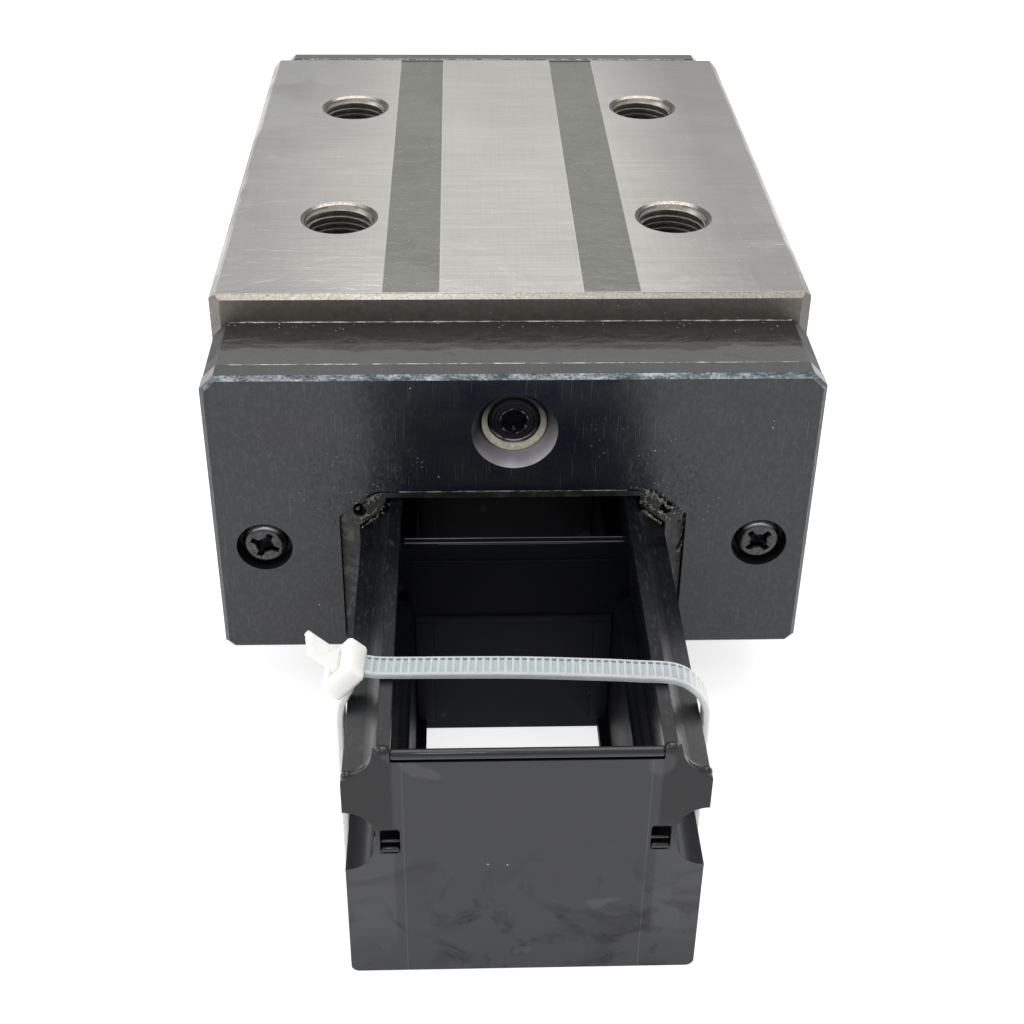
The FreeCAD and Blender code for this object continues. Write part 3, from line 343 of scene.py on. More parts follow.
def rail_plastic():
    """Black moulded plastic, satin, with smudges, hair scratches and two witness lines on its ends,
    painted sheen on its end faces and outer faces, and painted light in its end cells.
    """
    f = Finish("rail_plastic", edge_round=0.35)
    x, y, z = f.parts()
    off_middle, beyond = f.apart(x), f.apart(y)
    facing = f.window(f.apart(f.parts(f.normal)[1]), 0.9, 0.98)
    mottle = f.noise(9, 4, 0.6, warp=0.5)
    f.colour = f.blend(mottle, (0.0020, 0.0024, 0.0042), (0.0050, 0.0056, 0.0085))
    end_face = f.times(facing, f.window(beyond, rail_high.y - 0.6, rail_high.y - 0.1))
    # the end cells' walls catch more light low down
    end_cell = f.times(facing, f.window(beyond, LAST_WALL - 0.5, LAST_WALL - 0.1), f.window(z, 33, 31))
    f.paint(end_cell, (0.0115, 0.0125, 0.0165))
    smudge = f.window(f.noise(14, 4, 0.62, warp=1.6, shift=12), 0.52, 0.66)
    smudge = f.times(smudge, end_face, f.window(z, 34, 14))
    # painted sheen: the end faces are lighter grey
    f.paint(end_face, (0.068, 0.069, 0.073), 0.8)
    f.paint(smudge, (0.016, 0.016, 0.018), 0.6)
    outside = f.times(f.window(off_middle, 22.7, 23.2), f.window(z, 6, 12))
    # painted light: the outer faces are lighter near the rail's ends, from about 30 mm up
    f.paint(f.times(outside, f.window(beyond, 149, 154), f.window(z, 30, 38)), (0.022, 0.022, 0.024))
    # oil with painted sheen: pale streaks on the outer faces
    oil_sheen = f.window(f.noise(0.7, 4, 0.7, stretch=(1, 4, 1), warp=0.8), 0.56, 0.64)
    oil_sheen = f.times(oil_sheen, f.window(z, 44, 47), outside, f.math("SUBTRACT", 1.0, end_face))
    f.paint(oil_sheen, (0.16, 0.16, 0.15), 0.12)
    line = f.times(f.near(off_middle, 21.2, 0.06, 0.04), end_face)
    f.paint(line, (0.20, 0.20, 0.21), 0.3)
    scratch = f.math("MAXIMUM", f.hairlines(0.10, 12, 0.35, 0.25), f.hairlines(0.08, 9, 1.9, 0.2))
    f.paint(scratch, (0.25, 0.25, 0.26), 0.10)
    f.paint(f.specks(3.3, 0.16, 0.05), (0.65, 0.64, 0.6), 0.8)
    rough = f.mix(outside, f.window(mottle, 0.3, 0.7, 0.40, 0.55),
                  f.window(mottle, 0.3, 0.7, 0.22, 0.34))
    rough = f.mix(end_face, rough, f.mix(smudge, 0.40, 0.26))
    normal = f.relief((f.noise(12, 2), 0.08), (f.noise(0.45, 3, 0.6), 0.006), (line, 0.04),
                      (scratch, 0.01))
    shine = f.times(outside, f.mix(end_face, 0.34, 0.25))
    return f.set(Roughness=rough, Normal=normal, IOR=1.5, Specular_IOR_Level=0.07,
                 Coat_Weight=shine, Coat_Roughness=0.30,
                 Coat_Normal=f.relief((f.noise(5, 3, 0.6), 0.10)))


def rail_gloss():
    """The rail's plastic where the mould left it round and shiny."""
    f = Finish("rail_gloss")
    mottle = f.noise(1.8, 4, 0.6, warp=0.5)
    f.colour = f.blend(mottle, (0.003, 0.003, 0.004), (0.008, 0.008, 0.009))
    f.paint(f.specks(2.1, 0.14, 0.1), (0.5, 0.5, 0.48), 0.7)
    normal = f.relief((f.noise(1.1, 3, 0.6), 0.03))
    return f.set(Roughness=f.window(mottle, 0.3, 0.7, 0.12, 0.24), Normal=normal, IOR=1.35,
                 Coat_Weight=0.5, Coat_Roughness=0.04)


def seal_rubber():
    """Black rubber with thin smears of grease."""
    f = Finish("seal_rubber", edge_round=0.2)
    mottle = f.noise(2.2, 4, 0.65, warp=0.6)
    f.colour = f.blend(mottle, (0.006, 0.0065, 0.007), (0.022, 0.023, 0.022))
    smear = f.window(f.noise(3.2, 3, 0.6, warp=1.0, shift=21), 0.50, 0.64)
    f.paint(smear, (0.11, 0.105, 0.085), 0.35)
    return f.set(Roughness=f.mix(smear, 0.42, 0.16), Normal=f.relief((mottle, 0.10)), IOR=1.5)


def screw_black():
    """Black oxide steel, oily, with painted highlights on the upper rounding of its heads and painted
    shade in its cross recesses.
    """
    f = Finish("screw_black", edge_round=0.1)
    rub = f.window(f.noise(1.1, 4, 0.7), 0.40, 0.62)
    f.colour = f.blend(rub, (0.020, 0.020, 0.022), (0.050, 0.050, 0.054))
    f.paint(f.specks(1.4, 0.10, 0.12), (0.5, 0.5, 0.5), 0.8)
    # painted shade: the cross recess is near black
    recess = f.times(f.window(f.from_axis(SCREW_OFFSET, SCREW_LEVEL), 3.5, 3.3),
                     f.window(f.apart(f.parts()[1]), PLATE_FACE - 0.7, PLATE_FACE - 1.3))
    f.paint(recess, (0.002, 0.002, 0.003))
    # painted highlight: the upward rounding of each head is pale grey
    painted_lighting = f.window(f.parts(f.normal)[2], 0.45, 0.75)
    f.paint(f.times(painted_lighting, f.math("SUBTRACT", 1.0, recess)), (0.62, 0.62, 0.62))
    normal = f.relief((f.noise(0.5, 3, 0.6), 0.02))
    return f.set(Metallic=0.9, Roughness=f.window(rub, 0, 1, 0.22, 0.34), Normal=normal,
                 Coat_Weight=f.mix(recess, 0.5, 0.0), Coat_Roughness=0.08)


def plug_black():
    """Black plug with painted glints on its rounding and round its socket."""
    f = Finish("plug_black")
    mottle = f.noise(0.9, 4, 0.65)
    f.colour = f.blend(mottle, (0.004, 0.004, 0.006), (0.013, 0.012, 0.016))
    radius = f.from_axis(0, PORT_LEVEL)
    # painted highlight: pale glints on the lower rounding of the plug's rim
    rim = f.times(f.window(f.parts(f.normal)[2], -0.30, -0.55), f.window(radius, 4.3, 4.5),
                  f.window(f.noise(3, 2, shift=3), 0.38, 0.50))
    # painted glints round the socket
    glint = f.times(f.near(radius, 2.85, 0.08, 0.10), f.window(f.noise(1.6, 2, shift=6), 0.50, 0.60))
    f.paint(glint, (0.45, 0.46, 0.50), 0.6)
    f.paint(rim, (0.60, 0.57, 0.57))
    normal = f.relief((f.noise(0.6, 3, 0.6), 0.03))
    return f.set(Roughness=f.window(mottle, 0.3, 0.7, 0.14, 0.24), IOR=1.35,
                 Specular_IOR_Level=0.12, Normal=normal, Coat_Weight=0.06, Coat_Roughness=0.05)


def bush_steel():
    """Turned grey cone: fine rings about the port's axis, dark, with painted light making its lower
    side pale.
    """
    f = Finish("bush_steel")
    x, _, z = f.parts()
    joined = f.add("ShaderNodeCombineXYZ", {0: f.from_axis(0, PORT_LEVEL)}).outputs[0]
    inputs = {"Vector": joined, "Scale": 1.3, "Distortion": 1.0}
    rings = f.add("ShaderNodeTexWave", inputs, wave_type="BANDS", bands_direction="X").outputs["Fac"]
    tone = f.plus(f.times(rings, 0.4), f.noise(1.4, 4, 0.6))
    # painted light: the cone's lower side, more on the right, is pale
    lower = f.window(f.math("SUBTRACT", z, f.times(x, 0.3)), PORT_LEVEL + 1, PORT_LEVEL - 7)
    f.colour = f.blend(f.window(tone, 0.4, 1.0), (0.05, 0.048, 0.055), (0.09, 0.086, 0.095))
    f.paint(lower, (0.72, 0.70, 0.77))
    return f.set(Metallic=0.9, Roughness=f.window(tone, 0.4, 1.0, 0.30, 0.38),
                 Normal=f.relief((rings, 0.003)))


def ring_cream():
    """Cream washer, stained, with painted shade darkening its upper half."""
    f = Finish("ring_cream")
    stain = f.noise(1.2, 4, 0.7)
    f.colour = f.blend(f.window(stain, 0.35, 0.75), (0.50, 0.50, 0.40), (0.18, 0.17, 0.12))
    f.paint(f.window(f.noise(0.3, 3), 0.3, 0.8, 0, 0.4), (0.40, 0.39, 0.31))
    # painted shade: the washer darkens towards its top
    painted_lighting = f.window(f.parts()[2], PORT_LEVEL - 4, PORT_LEVEL + 3.5)
    f.paint(painted_lighting, (0.008, 0.0075, 0.007))
    return f.set(Roughness=0.38, Normal=f.relief((stain, 0.03)))


def guide_plastic():
    """Natural plastic of the parts inside."""
    f = Finish("guide_plastic", edge_round=0.2)
    mottle = f.noise(2.5, 4, 0.6)
    f.colour = f.blend(mottle, (0.50, 0.48, 0.41), (0.62, 0.60, 0.53))
    return f.set(Roughness=f.window(mottle, 0.3, 0.7, 0.30, 0.45),
                 Normal=f.relief((f.noise(0.6, 3), 0.02)))


def wire_steel():
    """Drawn wire."""
    f = Finish("wire_steel")
    drawn = f.noise(0.12, 2, stretch=(1, 60, 1))
    f.colour = f.blend(drawn, (0.42, 0.41, 0.40), (0.62, 0.61, 0.60))
    return f.set(Metallic=1.0, Roughness=0.28, Normal=f.relief((drawn, 0.008)))


def ball_steel():
    """Polished steel with a trace of oil."""
    f = Finish("ball_steel")
    film = f.noise(2.5, 3, 0.5, warp=0.6)
    f.colour = f.blend(film, (0.62, 0.62, 0.63), (0.76, 0.75, 0.74))
    return f.set(Metallic=1.0, Roughness=f.window(film, 0.3, 0.7, 0.05, 0.14),
                 Normal=f.relief((film, 0.01)))


def tie_nylon():
    """Natural nylon: white where the mesh says it is thick and bluish where it is thin."""
    f = Finish("tie_nylon")
    thick = f.add("ShaderNodeAttribute", attribute_name="thick").outputs["Fac"]
    cloud = f.noise(2.2, 3, 0.5)
    thin = f.blend(cloud, (0.17, 0.22, 0.265), (0.23, 0.285, 0.33))
    solid = f.blend(cloud, (0.81, 0.81, 0.76), (0.88, 0.88, 0.83))
    f.colour = f.blend(thick, thin, solid)
    rough = f.window(cloud, 0.3, 0.7, 0.26, 0.38)
    return f.set(Roughness=rough, Normal=f.relief((f.noise(0.7, 3), 0.02)), IOR=1.53,
                 Subsurface_Weight=0.7, Subsurface_Radius=(1.0, 1.0, 1.0), Subsurface_Scale=0.0022)


def grease():
    """Amber grease in soft glistening lumps."""
    f = Finish("grease")
    mottle = f.noise(0.7, 4, 0.65, warp=0.8)
    f.colour = f.blend(f.window(mottle, 0.45, 0.7), (0.008, 0.0075, 0.006), (0.16, 0.15, 0.11))
    # painted glints: pale specks on the lumps
    f.paint(f.specks(0.5, 0.14, 0.25), (0.90, 0.88, 0.76), 0.8)
    return f.set(Roughness=0.12, Normal=f.relief((mottle, 0.30)), IOR=1.48,
                 Coat_Weight=0.8, Coat_Roughness=0.05)


def oil_film():
    """Pale oil that has crept out of a joint, in bright beads and dull stretches; the beads' brightness
    is painted highlight.
    """
    f = Finish("oil_film")
    # painted highlight: the oil's beads are pale
    beads = f.window(f.noise(1.1, 4, 0.75, stretch=(3, 1, 1)), 0.42, 0.60)
    f.colour = f.blend(beads, (0.05, 0.047, 0.043), (0.62, 0.60, 0.56))
    return f.set(Roughness=0.15, Normal=f.relief((beads, 0.08)), IOR=1.48,
                 Coat_Weight=0.7, Coat_Roughness=0.05)


# ---- building of pieces ----


def new_piece(name, mesh, body, finish, stands_for=(), smooth=True):
    """Object from a bmesh laid out in millimetres, which rides on a body."""
    bmesh.ops.recalc_face_normals(mesh, faces=mesh.faces)
    bmesh.ops.scale(mesh, vec=(MM, MM, MM), verts=mesh.verts)
    data = bpy.data.meshes.new(name)
    mesh.to_mesh(data)
    mesh.free()
    for face in data.polygons:
        face.use_smooth = smooth
    item = bpy.data.objects.new(name, data)
    bpy.context.scene.collection.objects.link(item)
    data.materials.append(finish.material)
    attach(item, body)
    if stands_for:
        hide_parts(*stands_for)
    return item


def sharpen(item, degrees=40):
    """Smooth shading that breaks at edges sharper than the angle."""
    mesh = bmesh.new()
    mesh.from_mesh(item.data)
    limit = math.radians(degrees)
    for edge in mesh.edges:
        if len(edge.link_faces) == 2:
            edge.smooth = edge.calc_face_angle(0) < limit
    mesh.to_mesh(item.data)
    mesh.free()


def add_ring(mesh, points):
    return [mesh.verts.new(point) for point in points]


def bridge(mesh, first, second):
    """Faces between two closed rows of as many vertices."""
    for index in range(len(first)):
        after = (index + 1) % len(first)
        mesh.faces.new((first[index], first[after], second[after], second[index]))


def skin(mesh, rows):
    """Closed skin over rows of vertices, with a face at each end."""
    for first, second in zip(rows, rows[1:]):
        bridge(mesh, first, second)
    mesh.faces.new(rows[0])
    mesh.faces.new(rows[-1])


def full_turn(count):
    """Evenly spaced angles of a full turn."""
    return [math.tau * index / count for index in range(count)]


def row_across(places, along, up):
    return [Vector((across, along, up)) for across in places]


def add_tube(mesh, path, radius, sides):
    """Round rod along a path, with domed ends."""
    last = len(path) - 1
    rows = []
    for index, point in enumerate(path):
        along = (path[min(index + 1, last)] - path[max(index - 1, 0)]).normalized()
        side = along.cross(Vector((0, 0, 1)))
        if side.length < 0.1:
            side = along.cross(Vector((1, 0, 0)))
        side.normalize()
        rows.append((point, along, side, side.cross(along)))
    dome = [math.pi / 2 * step / 4 for step in (1, 2, 3)]
    point, along, side, up = rows[0]
    stations = [(point - along * radius * math.cos(angle), side, up, radius * math.sin(angle))
                for angle in dome]
    stations += [(point, side, up, radius) for point, along, side, up in rows]
    point, along, side, up = rows[-1]
    stations += [(point + along * radius * math.cos(angle), side, up, radius * math.sin(angle))
                 for angle in reversed(dome)]
    skin(mesh, [add_ring(mesh, [point + (side * math.cos(turn) + up * math.sin(turn)) * size
                                for turn in full_turn(sides)]) for point, side, up, size in stations])


# ---- threads in the tapped holes ----

THREAD_PITCH = 1.5
THREAD_DEPTH = 0.82
THREAD_STEPS = 48
BOLT_HOLE_DEPTH = 20.0
# the countersink goes on below the mouth's own bevel and cuts the first turns back
SINK_TOP = 0.46
SINK_BOTTOM = 1.75
SINK_SLOPE = 0.45


def make_thread(name, across, along):
    """Countersink and wound ridge of the thread on the wall of a tapped hole."""
    hole = bolts["hole_r_mm"]
    wall = hole + 0.1
    crest = hole - THREAD_DEPTH
    count = int((BOLT_HOLE_DEPTH - THREAD_PITCH) / THREAD_PITCH * THREAD_STEPS)
    mesh = bmesh.new()
    rows = []
    for step in range(count + 1):
        turn = math.tau * step / THREAD_STEPS
        depth = THREAD_PITCH * (step / THREAD_STEPS + 0.5)
        fade = min(1, step / (THREAD_STEPS / 3), (count - step) / (THREAD_STEPS / 3))
        inner = wall + (crest - wall) * max(fade, 0.02)
        inner = max(inner, min(wall - 0.002, hole + 0.06 - SINK_SLOPE * (depth - SINK_TOP)))
        profile = ((wall, 0.48), (inner, 0.19), (inner, -0.19), (wall, -0.48))
        rows.append(add_ring(mesh, [
            (across + radius * math.cos(turn), along - radius * math.sin(turn),
             TOP - max(SINK_TOP, depth - THREAD_PITCH * lift)) for radius, lift in profile]))
    skin(mesh, rows)
    narrow = hole - SINK_SLOPE * (SINK_BOTTOM - SINK_TOP)
    section = ((wall, SINK_TOP), (hole, SINK_TOP), (narrow, SINK_BOTTOM), (wall, SINK_BOTTOM + 0.15))
    loops = [add_ring(mesh, [
        (across + radius * math.cos(turn), along + radius * math.sin(turn), TOP - depth)
        for turn in full_turn(96)]) for radius, depth in section]
    for first, second in zip(loops, loops[1:] + loops[:1]):
        bridge(mesh, first, second)
    sharpen(new_piece(name, mesh, "carriage", STEEL))


# ---- round faces with a recess, as a field of heights over a disc ----

DISC_SPOKES = 144


def add_disc(mesh, centre, radius, height, turn, back, rings=44):
    """Disc that faces -Y before it is turned, with height(across, up) above its base, closed behind."""
    rotation = Matrix.Rotation(turn, 4, "Z")

    def spot(size, angle, lift):
        across, up = size * math.cos(angle), size * math.sin(angle)
        return rotation @ Vector((centre.x + across, centre.y - lift, centre.z + up))

    angles = full_turn(DISC_SPOKES)
    middle = mesh.verts.new(spot(0, 0, height(0, 0)))
    loops = []
    for ring in range(1, rings + 1):
        size = radius * ring / rings
        loops.append(add_ring(mesh, [
            spot(size, angle, height(size * math.cos(angle), size * math.sin(angle)))
            for angle in angles]))
    loops.append(add_ring(mesh, [spot(radius, angle, -back) for angle in angles]))
    for index in range(DISC_SPOKES):
        mesh.faces.new((middle, loops[0][index], loops[0][(index + 1) % DISC_SPOKES]))
    for first, second in zip(loops, loops[1:]):
        bridge(mesh, first, second)
    mesh.faces.new(loops[-1])


def ease(value, low, high):
    """Smooth step from 0 at low to 1 at high."""
    share = min(1, max(0, (value - low) / (high - low)))
    return share * share * (3 - 2 * share)


SCREW_HEIGHT = 3.7
SCREW_ROUND = 1.6
CROSS_REACH = 3.05
CROSS_DEPTH = 2.2


def screw_height(tilt):
    """Pan head with a cross recess turned by an angle."""
    flat = SCREW_RADIUS - SCREW_ROUND

    def height(across, up):
        size = math.hypot(across, up)
        if size <= flat:
            crown = SCREW_HEIGHT - 0.12 * (size / flat) ** 2
        else:
            crown = SCREW_HEIGHT - 0.12 - SCREW_ROUND
            crown += math.sqrt(max(0, SCREW_ROUND ** 2 - (size - flat) ** 2))
        first = abs(across * math.cos(tilt) + up * math.sin(tilt))
        second = abs(up * math.cos(tilt) - across * math.sin(tilt))
        reach, side = max(first, second), min(first, second)
        half_width = 0.80 - 0.07 * reach
        inside = ease(half_width - side, -0.06, 0.08) * ease(CROSS_REACH - reach, -0.06, 0.12)
        hub = ease(1.75 - size, -0.08, 0.10)
        depth = CROSS_DEPTH - 0.45 * max(0, reach - 0.9)
        return crown - max(inside, hub * 0.92) * depth

    return height


PLUG_RADIUS = 5.4
PLUG_FLAT = 3.9
PLUG_ROUND = 1.5
PLUG_LENGTH = 7.0
SCREW_POCKET_DEPTH = 4.1
SOCKET_HALF_WIDTH = 2.5
SOCKET_DEPTH = 3.0


def plug_height(across, up):
    """Stepped face with a rounded rim and a hexagon socket."""
    size = math.hypot(across, up)
    lift = -0.2 * ease(size, PLUG_FLAT - 0.5, PLUG_FLAT)
    if size > PLUG_FLAT:
        lift -= PLUG_ROUND - math.sqrt(max(0, PLUG_ROUND ** 2 - (size - PLUG_FLAT) ** 2))
    flat = max(abs(across * math.cos(turn) + up * math.sin(turn))
               for turn in (0, math.pi / 3, -math.pi / 3))
    lift -= 0.12 * ease(SOCKET_HALF_WIDTH + 0.35 - flat, 0, 0.3)
    return lift - SOCKET_DEPTH * ease(SOCKET_HALF_WIDTH - flat, -0.04, 0.10)


def make_end_fittings(end, turn):
    """Screw heads and grease plug of one end of the carriage."""
    heads = bmesh.new()
    for side, tilt in ((-1, -0.45), (1, 0.75)):
        place = Vector((side * SCREW_OFFSET, SCREW_POCKET_DEPTH - PLATE_FACE, SCREW_LEVEL))
        add_disc(heads, place, SCREW_RADIUS, screw_height(tilt), turn, 0.4)
    plug = bmesh.new()
    place = Vector((0, box_mm("grease_plug_front")[0].y, PORT_LEVEL))
    add_disc(plug, place, PLUG_RADIUS, plug_height, turn, PLUG_LENGTH, rings=60)
    for name, mesh, finish, node in (("screw_heads", heads, SCREW, "end_screws"),
                                     ("socket_plug", plug, PLUG, "grease_plug")):
        item = new_piece(f"{name}_{end}", mesh, "carriage", finish, [f"{node}_{end}"])
        sharpen(item, 50)


# ---- cable tie ----

TIE_ALONG = rail_low.y + 19.8
TIE_YAW = math.radians(-2.5)
TIE_WIDTH = 4.8
TIE_THICKNESS = 1.25
TOOTH_PITCH = 1.32
TOOTH_STEPS = 8
STRAP_LOOK = 0.40
STRAP_BEVEL = 0.18
STRAP_COLUMNS = (-2.4, -2.25, -1.8, -1.7, -0.4, 0.9, 1.2, 1.3, 1.4, 1.9, 2.0, 2.28, 2.4)
HEAD_CENTRE = (-31.75, 54.55)
HEAD_ANGLE = math.radians(41.4)
HEAD_SIZE = (4.4, 8.9, 7.5)
# width, height and drop of the slot's rim and of its floor
HEAD_SLOT = ((6.0, 3.2, 0.05), (5.4, 2.3, 0.9))
# the strap's middle line, from its root in the head over the rail and round it to the cut tip
TIE_ROUTE = (
    (-29.6, 55.9), (-27.4, 55.15), (-23.5, 54.95), (-12, 55.3), (0, 55.55), (12, 55.4), (20, 55.15),
    (26.6, 54.75), (30.3, 52.6), (32.5, 48.9), (32.9, 43), (32.9, 30), (32.9, 16), (32.9, 4),
    (32.75, 2.0), (32.1, 1.1), (30.8, 0.87), (20, 0.87), (0, 0.87), (-20, 0.87), (-30.8, 0.87),
    (-32.1, 1.1), (-32.75, 2.0), (-32.9, 4), (-32.9, 16), (-32.9, 30), (-32.9, 42), (-32.6, 46.8),
    (-31.5, 50.0), (-30.5, 52.2), (-30.6, 53.7), (-31.93, 55.11), (-33.6, 56.6), (-36.0, 58.7),
    (-38.0, 60.5),
)


def smooth_route(corners, step):
    """Evenly spaced points on a smooth line through the corners."""
    points = [Vector(corner) for corner in corners]
    points = [2 * points[0] - points[1]] + points + [2 * points[-1] - points[-2]]
    fine = []
    for before, start, end, after in zip(points, points[1:], points[2:], points[3:]):
        count = max(2, int((end - start).length / step * 3))
        for index in range(count):
            t = index / count
            fine.append(0.5 * (2 * start + (end - before) * t
                               + (2 * before - 5 * start + 4 * end - after) * t ** 2
                               + (3 * start - before - 3 * end + after) * t ** 3))
    fine.append(points[-2])
    even = [fine[0]]
    left = step
    for start, end in zip(fine, fine[1:]):
        length = (end - start).length
        while length > 1e-9 and left <= length:
            start = start.lerp(end, left / length)
            even.append(start)
            length = (end - start).length
            left = step
        left -= length
    return even


def place_on_tie(across, along, up):
    return Matrix.Rotation(TIE_YAW, 4, "Z") @ Vector((across, along, up)) + Vector((0, TIE_ALONG, 0))


def tooth_depths(share, column):
    """How deep the strap's two faces lie and how thick it looks, at a share of a tooth's pitch."""
    open_share = ease(share, 0.30, 0.42) * ease(1 - share, -0.05, 0.08)
    if -1.75 < column < 1.25:
        return 0.17 * open_share, 0, STRAP_LOOK - 0.12 * open_share
    if 1.35 < column < 1.95:
        return 0.46 * open_share, 0.36 * open_share, STRAP_LOOK * (1 - open_share)
    return 0, 0, STRAP_LOOK


def make_strap(mesh, layer):
    """Toothed strap swept along the route, with its looks of thickness in the layer."""
    route = smooth_route(TIE_ROUTE, TOOTH_PITCH / TOOTH_STEPS)
    last = len(route) - 1
    half = TIE_THICKNESS / 2
    rows = []
    for index, point in enumerate(route):
        along = (route[min(index + 1, last)] - route[max(index - 1, 0)]).normalized()
        outward = Vector((-along.y, along.x))
        slant = 1.4 * ease(index, last - 16, last)
        share = index / TOOTH_STEPS % 1
        # the tail and the runs down the rail's flanks look whiter than the run over its top
        tail = ease(index, last - 62, last - 50)
        pale = max(tail, 0.6 * ease(abs(point.x), 27, 32))
        row = []
        for face in (1, -1):
            for column in STRAP_COLUMNS[::face]:
                outer, inner, thick = tooth_depths(share, column)
                thick += (0.97 - thick) * 0.9 * pale
                edge = STRAP_BEVEL if abs(column) == TIE_WIDTH / 2 else 0
                lift = face * (half - edge - (outer if face > 0 else inner) * (1 - 0.6 * tail))
                spot = point + outward * lift + along * slant * column / TIE_WIDTH
                vertex = mesh.verts.new(place_on_tie(spot.x, column, spot.y))
                vertex[layer] = thick
                row.append(vertex)
        rows.append(row)
    skin(mesh, rows)


def make_tie_head(mesh, layer):
    """Rounded block with a slot, turned so that the slot's axis points up and out."""
    bmesh.ops.create_cube(mesh, size=1)
    bmesh.ops.scale(mesh, vec=HEAD_SIZE, verts=mesh.verts)
    bmesh.ops.bevel(mesh, geom=mesh.edges, offset=0.95, segments=5, profile=0.5, affect="EDGES")
    for way in (-1, 1):
        wall = max(mesh.faces, key=lambda face: way * face.normal.x * (face.calc_area() > 4))
        for width, height, drop in HEAD_SLOT:
            bmesh.ops.inset_individual(mesh, faces=[wall], thickness=0.15)
            for vertex in wall.verts:
                vertex.co = (vertex.co.x - way * drop, math.copysign(width / 2, vertex.co.y),
                             math.copysign(height / 2, vertex.co.z))
    lean = Matrix.Rotation(HEAD_ANGLE, 4, "Y")
    for vertex in mesh.verts:
        spot = lean @ Vector((-vertex.co.x, vertex.co.y, vertex.co.z))
        vertex.co = place_on_tie(spot.x + HEAD_CENTRE[0], spot.y, spot.z + HEAD_CENTRE[1])
        vertex[layer] = 1


def make_cable_tie():
    mesh = bmesh.new()
    layer = mesh.verts.layers.float.new("thick")
    make_tie_head(mesh, layer)
    make_strap(mesh, layer)
    item = new_piece("nylon_tie", mesh, "rail", TIE, stands_for=["cable_tie"])
    sharpen(item, 35)


# ---- dummy rail's rounded trim and frames ----

GROOVE_OFFSET = 31.7
UPPER_ROW = 54.5
LOWER_RELIEF = 32.0
BEAD_RADIUS = 0.85
TRIM_INNER = 168.46
END_WALL_TOP = 52.2
BAR_RADIUS = 0.95
SLOT_INNER = 21.8
SLOT_OUTER = 25.3
SLOT_BOTTOM = 30.7
SLOT_TOP = 36.5
FILLER_DEPTH = 1.6


def arc(centre, radius, start, end, along, steps=14):
    """Points on an arc in the plane across the rail, between two angles in degrees."""
    angles = [math.radians(start + (end - start) * index / steps) for index in range(steps + 1)]
    return [Vector((centre[0] + radius * math.cos(angle), along, centre[1] + radius * math.sin(angle)))
            for angle in angles]


def mirrored(points):
    return [Vector((-point.x, point.y, point.z)) for point in points]


def add_corner_filler(mesh, corner, to_side, to_middle, radius, along, way):
    """Rounds a square corner of an opening; to_side and to_middle say which way it opens."""
    centre = Vector(corner) + Vector((to_side, to_middle)) * radius
    outline = [Vector(corner)]
    for index in range(7):
        angle = math.pi / 2 * index / 6
        spoke = Vector((to_side * math.sin(angle), to_middle * math.cos(angle)))
        outline.append(centre - spoke * radius)
    skin(mesh, [add_ring(mesh, [(point.x, place, point.y) for point in outline])
                for place in (along, along - way * FILLER_DEPTH)])


def make_rail_trim(end, way):
    """Bar and knobs on an end wall's top, lips at the grooves' ends, and rounding in the wire slots."""
    face = rail_high.y - 0.03
    mesh = bmesh.new()
    upper, lower = (GROOVE_OFFSET, UPPER_ROW), (GROOVE_OFFSET, LOWER_RELIEF)
    lip_along = way * (face - BEAD_RADIUS)
    lines = (
        (row_across((24.1, 24.3, 24.5), way * (face - 1.15), END_WALL_TOP + 1.4), 1.15),
        (arc(upper, 6.38, 223, 259, lip_along), BEAD_RADIUS),
        (arc(upper, 6.42, 258, 260, way * (face - 1.0), 2), 1.0),
        (arc(lower, 6.25, 216, 263, lip_along), 0.8),
        (row_across((22.3, 23.6, 24.9), way * (face - 0.6), SLOT_BOTTOM + 0.5), 0.6),
        (row_across((21.9, 23.6, 25.2), way * (face - 1.1), SLOT_BOTTOM + 2.0), 0.35),
    )
    for path, radius in lines:
        for points in (path, mirrored(path)):
            add_tube(mesh, points, radius, 16)
    for vertex in mesh.verts:
        # flat on the inside, clear of the end seal at the carriage's last position
        vertex.co.y = way * max(abs(vertex.co.y), TRIM_INNER)
    bar = row_across((-22.6, -11.5, 0, 11.5, 22.6), way * (face - BAR_RADIUS), END_WALL_TOP + 0.9)
    add_tube(mesh, bar, BAR_RADIUS, 16)
    new_piece(f"rail_end_trim_{end}", mesh, "rail", RAIL_GLOSS)

    mesh = bmesh.new()
    for side in (-1, 1):
        for across, to_side in ((SLOT_INNER, side), (SLOT_OUTER, -side)):
            for up, to_middle in ((SLOT_BOTTOM, 1), (SLOT_TOP, -1)):
                add_corner_filler(mesh, (side * across, up), to_side, to_middle, 0.9, way * face, way)
    new_piece(f"wire_slot_corners_{end}", mesh, "rail", RAIL, smooth=False)


CELL_PITCH = 52.35
CROSS_WALL = 2.0
CROSS_WALL_TOP = 50.2
PANEL_TOP = 30.0
RIB_LEVEL = 45.6
LAST_WALL = 2 * CELL_PITCH + CROSS_WALL / 2
FRAME_PANELS = (
    # left, right, bottom, top, thickness, rounding: two posts, the bar over them and the fine rib
    (-20.7, -16.8, 2.62, PANEL_TOP, 0.6, 0.25),
    (16.8, 20.7, 2.62, PANEL_TOP, 0.6, 0.25),
    (-20.7, 20.7, PANEL_TOP, 31.6, 0.6, 0.25),
    (-21, 21, RIB_LEVEL - 0.25, RIB_LEVEL + 0.25, 0.3, 0.2),
)


